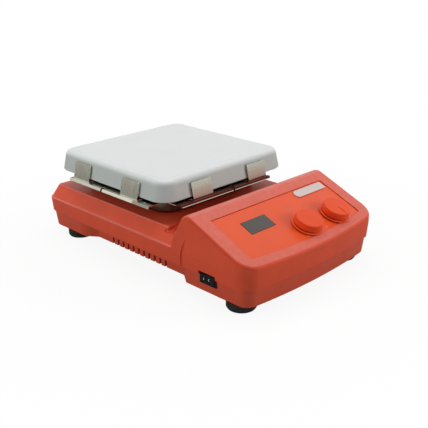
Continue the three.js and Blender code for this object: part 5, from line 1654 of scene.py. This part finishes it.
def drawer():
    """The fuse drawer: an open tray behind a face with a small grip under it."""
    low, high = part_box("fuse_drawer")
    face, wall, tray_edge, grip_edge, overlap = INLET_HIGH.y, 0.0014, 0.0004, 0.0003, 0.0007
    tray = block(low, (high.x, face, high.z), tray_edge, segments=2)
    room = block((low.x + wall, low.y + wall, low.z + wall), (high.x - wall, face - wall, high.z + OVERRUN))
    inset = (high.x - low.x) / 4
    grip = block(
        (low.x + inset, face - overlap, low.z), (high.x - inset, high.y, low.z + wall),
        grip_edge, segments=2)
    finish_piece(
        "fuse_drawer_tray", joined(without(tray, room), grip), "black_plastic",
        ["fuse_drawer"], "fuse_drawer", bevel=0.0001)


def serial():
    """The nine-pole socket: a flange with jack nuts, a tapered shell and a dark insert with holes."""
    low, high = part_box("serial_socket")
    x, z, back = (low.x + high.x) / 2, (low.z + high.z) / 2, REAR_HIGH.y + SEAT
    half_top, half_foot, half_height, corner = 0.0085, 0.0070, 0.00425, 0.0018

    def drawn(shrink, start, end):
        top, bottom, half = half_top - shrink, half_foot - shrink, half_height - shrink
        line = [(top, half), (-top, half), (-bottom, -half), (bottom, -half), (top, half), (-top, half)]
        outline = rounded(line, [corner] * 4, steps=5)[1:-1]
        return facing_rear(slab(outline, start, end), x, 0.0, z)

    flange_depth, flange_edge, overlap, wall, floor = 0.001, 0.0003, 0.0005, 0.0006, 0.0015
    flange = block((low.x, back, low.z), (high.x, back + flange_depth, high.z), flange_edge, segments=2)
    shell = without(drawn(0.0, back + overlap, high.y), drawn(wall, back + floor, high.y + OVERRUN))
    nut_radius, nut_length, nut_reach, nut_foot = 0.0024, 0.003, 0.0125, 0.0008
    nuts = [lying(drum(nut_radius, 0.0, nut_length, sides=6), x + side * nut_reach, back + nut_foot, z)
            for side in SIGNS]
    finish_piece(
        "serial_shell", joined(flange, shell, *nuts), "nickel",
        ["serial_socket"], bevel=0.0001)
    insert_shrink, insert_drop, pole, pole_length, pole_depth = 0.0012, 0.0008, 0.0005, 0.004, 0.003
    pitch, row_rise = 0.00277, 0.0014
    rows, holes = ((row_rise, 5), (-row_rise, 4)), []
    for rise, count in rows:
        for index in range(count):
            hole = drum(pole, 0.0, pole_length, sides=16)
            holes.append(lying(hole, x + (index - (count - 1) / 2) * pitch, high.y - pole_depth, z + rise))
    insert = drawn(insert_shrink, low.y, high.y - insert_drop)
    finish_piece("serial_insert", without(insert, together(holes)), "black_plastic")


def probe():
    """The round probe socket: a ringed flange, a mouth and an insert with contacts."""
    low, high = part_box("probe_socket")
    x, z = (low.x + high.x) / 2, (low.z + high.z) / 2
    face, back, radius = high.y - low.y, REAR_HIGH.y + SEAT - low.y, (high.x - low.x) / 2
    neck, ring, step, bore, step_drop, depth = 0.0065, 0.0056, 0.0052, 0.0042, 0.0006, 0.008
    lower, deep = face - step_drop, face - depth
    seat_round, rim_round, bore_round = 0.0004, 0.0006, 0.0003
    profile = rounded(
        [(0.0, 0.0), (neck, 0.0), (neck, back), (radius, back), (radius, face), (ring, face), (step, lower),
         (bore, lower), (bore, deep), (0.0, deep)],
        (EASED, CRISP, seat_round, rim_round, CRISP, CRISP, bore_round, EASED), steps=4)
    socket = lying(turned(profile, sides=72), x, low.y, z)
    finish_piece("probe_socket_body", socket, "black_plastic", ["probe_socket"])
    pin_radius, pin_length, pin_ring, pin_depth, count = 0.0004, 0.004, 0.0026, 0.0082, 5
    contacts = []
    for index in range(count):
        turn = math.pi * index / (count - 1)
        pin = drum(pin_radius, 0.0, pin_length, edge=EASED, sides=16)
        contacts.append(lying(
            pin, x + pin_ring * math.cos(turn), low.y + (face - pin_depth),
            z + pin_ring * math.sin(turn)))
    finish_piece("probe_contacts", together(contacts), "brass")


# The solids that stay, under the finish that each one gets
KEPT_SOLIDS = {
    "zinc_plate": ("motor_bracket", "motor_ring_nut", "plate_screw_"),
    "shield_steel": ("heater_clamp", "plate_post_"),
    "cast_metal": ("motor_housing", "motor_end_cap", "magnet_holder", "heating_element"),
    "turned_steel": (
        "upper_bearing", "lower_bearing", "motor_shaft", "motor_rotor", "transformer", "heat_encoder",
        "stir_encoder", "heat_encoder_shaft", "stir_encoder_shaft"),
    "black_plastic": ("display_module", "heat_encoder_rotor", "stir_encoder_rotor"),
    "board_green": ("control_board", "power_board"),
    "brass": ("temperature_sensor",),
    "copper_winding": ("stator_coil",),
    "mineral_board": ("insulation_board",),
    "nickel": ("left_magnet", "right_magnet"),
}


def dress_kept_solids():
    """Gives each solid that stays its finish."""
    for finish, names in KEPT_SOLIDS.items():
        for name, node in frame["nodes"].items():
            if name in names or any(part.endswith("_") and name.startswith(part) for part in names):
                node.data.materials.clear()
                node.data.materials.append(FINISHES[finish])


# Stage


def make_camera(stage):
    data = bpy.data.cameras.new("camera")
    data.lens = stage.lens
    data.sensor_width = 36.0
    camera = bpy.data.objects.new("camera", data)
    bpy.context.scene.collection.objects.link(camera)
    place, target = Vector(stage.camera), Vector(stage.target)
    ahead = (target - place).normalized()
    right = ahead.cross(UP).normalized()
    above = right.cross(ahead)
    cosine, sine = math.cos(stage.roll), math.sin(stage.roll)
    rolled_right = right * cosine + above * sine
    rolled_above = above * cosine - right * sine
    turn = Matrix((rolled_right, rolled_above, -ahead)).transposed().to_4x4()
    camera.matrix_world = Matrix.Translation(place) @ turn
    bpy.context.scene.camera = camera


def make_lamp(name, place, target, size, power, highlight):
    data = bpy.data.lights.new(name, "AREA")
    data.shape = "DISK"
    data.size = size
    data.energy = power
    lamp = bpy.data.objects.new(name, data)
    bpy.context.scene.collection.objects.link(lamp)
    lamp.location = place
    lamp.visible_glossy = highlight
    lamp.rotation_euler = (Vector(target) - Vector(place)).to_track_quat("-Z", "Y").to_euler()


def make_floor(stage, colours):
    """A pale sheet: it reads white, keeps a soft shadow near the object and sends little light back."""
    fade_start_share = 0.5
    finish = Finish("floor_paper", {"Roughness": 0.9, "Specular IOR Level": 0.0})
    seen = finish.node("ShaderNodeLightPath", out="Is Camera Ray")
    finish.surface({"Base Color": finish.mix(seen, tuple(colours.bounce), tuple(colours.floor))})
    distance = finish.node("ShaderNodeVectorMath", {"operation": "LENGTH"}, {0: finish.place}, out="Value")
    edge = finish.range(distance, stage.shadow * fade_start_share, stage.shadow, stage.shadow_fade, 1.0)
    glow = finish.node("ShaderNodeEmission", None, {"Color": WHITE, "Strength": 1.0})
    blend = finish.node("ShaderNodeMixShader", None, {0: edge * seen, 1: finish.shader, 2: glow})
    finish.plug(finish.output.inputs["Surface"], blend)
    bm = bmesh.new()
    bmesh.ops.create_grid(bm, x_segments=1, y_segments=1, size=stage.floor / 2)
    floor = as_object("floor", bm)
    floor.data.materials.append(finish.material)


def make_world(stage):
    """Plain white for the camera and for reflections, and a soft even light on everything else."""
    world = bpy.data.worlds.new("surroundings")
    bpy.context.scene.world = world
    world.use_nodes = True
    nodes = NodeTree(world.node_tree)
    surround = nodes.node("ShaderNodeBackground", None, {"Color": WHITE, "Strength": stage.world})
    backdrop = nodes.node("ShaderNodeBackground", None, {"Color": WHITE, "Strength": 1.0})
    rays = ("Is Camera Ray", "Is Glossy Ray")
    camera, glossy = (nodes.node("ShaderNodeLightPath", out=ray) for ray in rays)
    blend = nodes.node("ShaderNodeMixShader", None, {0: camera.or_more(glossy), 1: surround, 2: backdrop})
    nodes.node("ShaderNodeOutputWorld", None, {"Surface": blend})


def stage_all(scene):
    scene.view_settings.view_transform = "Standard"
    make_camera(scene.stirrer_stage)
    make_floor(scene.stirrer_stage, scene.stirrer_colours)
    make_world(scene.stirrer_stage)
    for name, (place, target, size, power, highlight) in LAMPS.items():
        make_lamp(name, place, target, size, power, highlight)


# Operators


class STIRRER_OT_stage(bpy.types.Operator):
    """Adds the camera, the floor, the world and the lamps"""
    bl_idname = "stirrer.stage"
    bl_label = "Stage"
    bl_options = {"REGISTER", "UNDO"}

    def execute(self, context):
        stage_all(context.scene)
        return {"FINISHED"}


class STIRRER_OT_finishes(bpy.types.Operator):
    """Makes every material and dresses the solids that stay"""
    bl_idname = "stirrer.finishes"
    bl_label = "Finishes"
    bl_options = {"REGISTER", "UNDO"}

    def execute(self, context):
        make_finishes(context.scene)
        dress_kept_solids()
        return {"FINISHED"}


class STIRRER_OT_upper_housing(bpy.types.Operator):
    """Adds the upper shell with its deck and control head"""
    bl_idname = "stirrer.upper_housing"
    bl_label = "Upper housing"
    bl_options = {"REGISTER", "UNDO"}

    def execute(self, context):
        upper_housing(context.scene)
        return {"FINISHED"}


class STIRRER_OT_base_cover(bpy.types.Operator):
    """Adds the base tray with its vent recesses"""
    bl_idname = "stirrer.base_cover"
    bl_label = "Base cover"
    bl_options = {"REGISTER", "UNDO"}

    def execute(self, context):
        base_cover(context.scene)
        return {"FINISHED"}


class STIRRER_OT_feet(bpy.types.Operator):
    """Adds four rubber feet with their screws"""
    bl_idname = "stirrer.feet"
    bl_label = "Feet"
    bl_options = {"REGISTER", "UNDO"}

    def execute(self, context):
        feet(context.scene)
        return {"FINISHED"}


class STIRRER_OT_top_plate(bpy.types.Operator):
    """Adds the glazed plate with its skirt"""
    bl_idname = "stirrer.top_plate"
    bl_label = "Top plate"
    bl_options = {"REGISTER", "UNDO"}

    def execute(self, context):
        top_plate(context.scene)
        return {"FINISHED"}


class STIRRER_OT_heat_shield(bpy.types.Operator):
    """Adds the pan with its wings and spring tabs"""
    bl_idname = "stirrer.heat_shield"
    bl_label = "Heat shield"
    bl_options = {"REGISTER", "UNDO"}

    def execute(self, context):
        heat_shield(context.scene)
        return {"FINISHED"}


class STIRRER_OT_panel(bpy.types.Operator):
    """Adds the panel's film, its display, its bare label and its small marks"""
    bl_idname = "stirrer.panel"
    bl_label = "Panel"
    bl_options = {"REGISTER", "UNDO"}

    def execute(self, context):
        overlay(context.scene)
        label(context.scene)
        panel_marks(context.scene)
        return {"FINISHED"}


class STIRRER_OT_knobs(bpy.types.Operator):
    """Adds both knobs and their collars"""
    bl_idname = "stirrer.knobs"
    bl_label = "Knobs"
    bl_options = {"REGISTER", "UNDO"}

    def execute(self, context):
        knobs(context.scene)
        return {"FINISHED"}


class STIRRER_OT_switch(bpy.types.Operator):
    """Adds the rocker switch in the left side"""
    bl_idname = "stirrer.switch"
    bl_label = "Switch"
    bl_options = {"REGISTER", "UNDO"}

    def execute(self, context):
        rocker_switch(context.scene)
        return {"FINISHED"}


class STIRRER_OT_sockets(bpy.types.Operator):
    """Adds the rear plate with its inlet, fuse drawer and sockets"""
    bl_idname = "stirrer.sockets"
    bl_label = "Sockets"
    bl_options = {"REGISTER", "UNDO"}

    def execute(self, context):
        rear_panel()
        inlet()
        drawer()
        serial()
        probe()
        return {"FINISHED"}


OPERATORS = (
    STIRRER_OT_stage, STIRRER_OT_finishes, STIRRER_OT_upper_housing, STIRRER_OT_base_cover,
    STIRRER_OT_feet, STIRRER_OT_top_plate, STIRRER_OT_heat_shield, STIRRER_OT_panel, STIRRER_OT_knobs,
    STIRRER_OT_switch, STIRRER_OT_sockets,
)


class STIRRER_PT_build(bpy.types.Panel):
    """Lists the steps that build the stirrer"""
    bl_label = "Heated stirrer"
    bl_idname = "STIRRER_PT_build"
    bl_space_type = "VIEW_3D"
    bl_region_type = "UI"
    bl_category = "Stirrer"

    def draw(self, context):
        for group in GROUPS:
            settings = getattr(context.scene, group)
            box = self.layout.box()
            for name in settings.__annotations__:
                box.prop(settings, name)
        for step in OPERATORS:
            self.layout.operator(step.bl_idname)


GROUPS = {
    "stirrer_housing": HousingSizes,
    "stirrer_base": BaseSizes,
    "stirrer_plate": PlateSizes,
    "stirrer_controls": ControlSizes,
    "stirrer_colours": StirrerColours,
    "stirrer_stage": StageSizes,
}


def register():
    for name, group in GROUPS.items():
        bpy.utils.register_class(group)
        setattr(bpy.types.Scene, name, bpy.props.PointerProperty(type=group))
    for step in OPERATORS:
        bpy.utils.register_class(step)
    bpy.utils.register_class(STIRRER_PT_build)


def unregister():
    bpy.utils.unregister_class(STIRRER_PT_build)
    for step in reversed(OPERATORS):
        bpy.utils.unregister_class(step)
    for name, group in reversed(GROUPS.items()):
        delattr(bpy.types.Scene, name)
        bpy.utils.unregister_class(group)


def main():
    register()
    for step in OPERATORS:
        getattr(bpy.ops.stirrer, step.bl_idname.split(".")[1])()


if __name__ == "__main__":
    main()
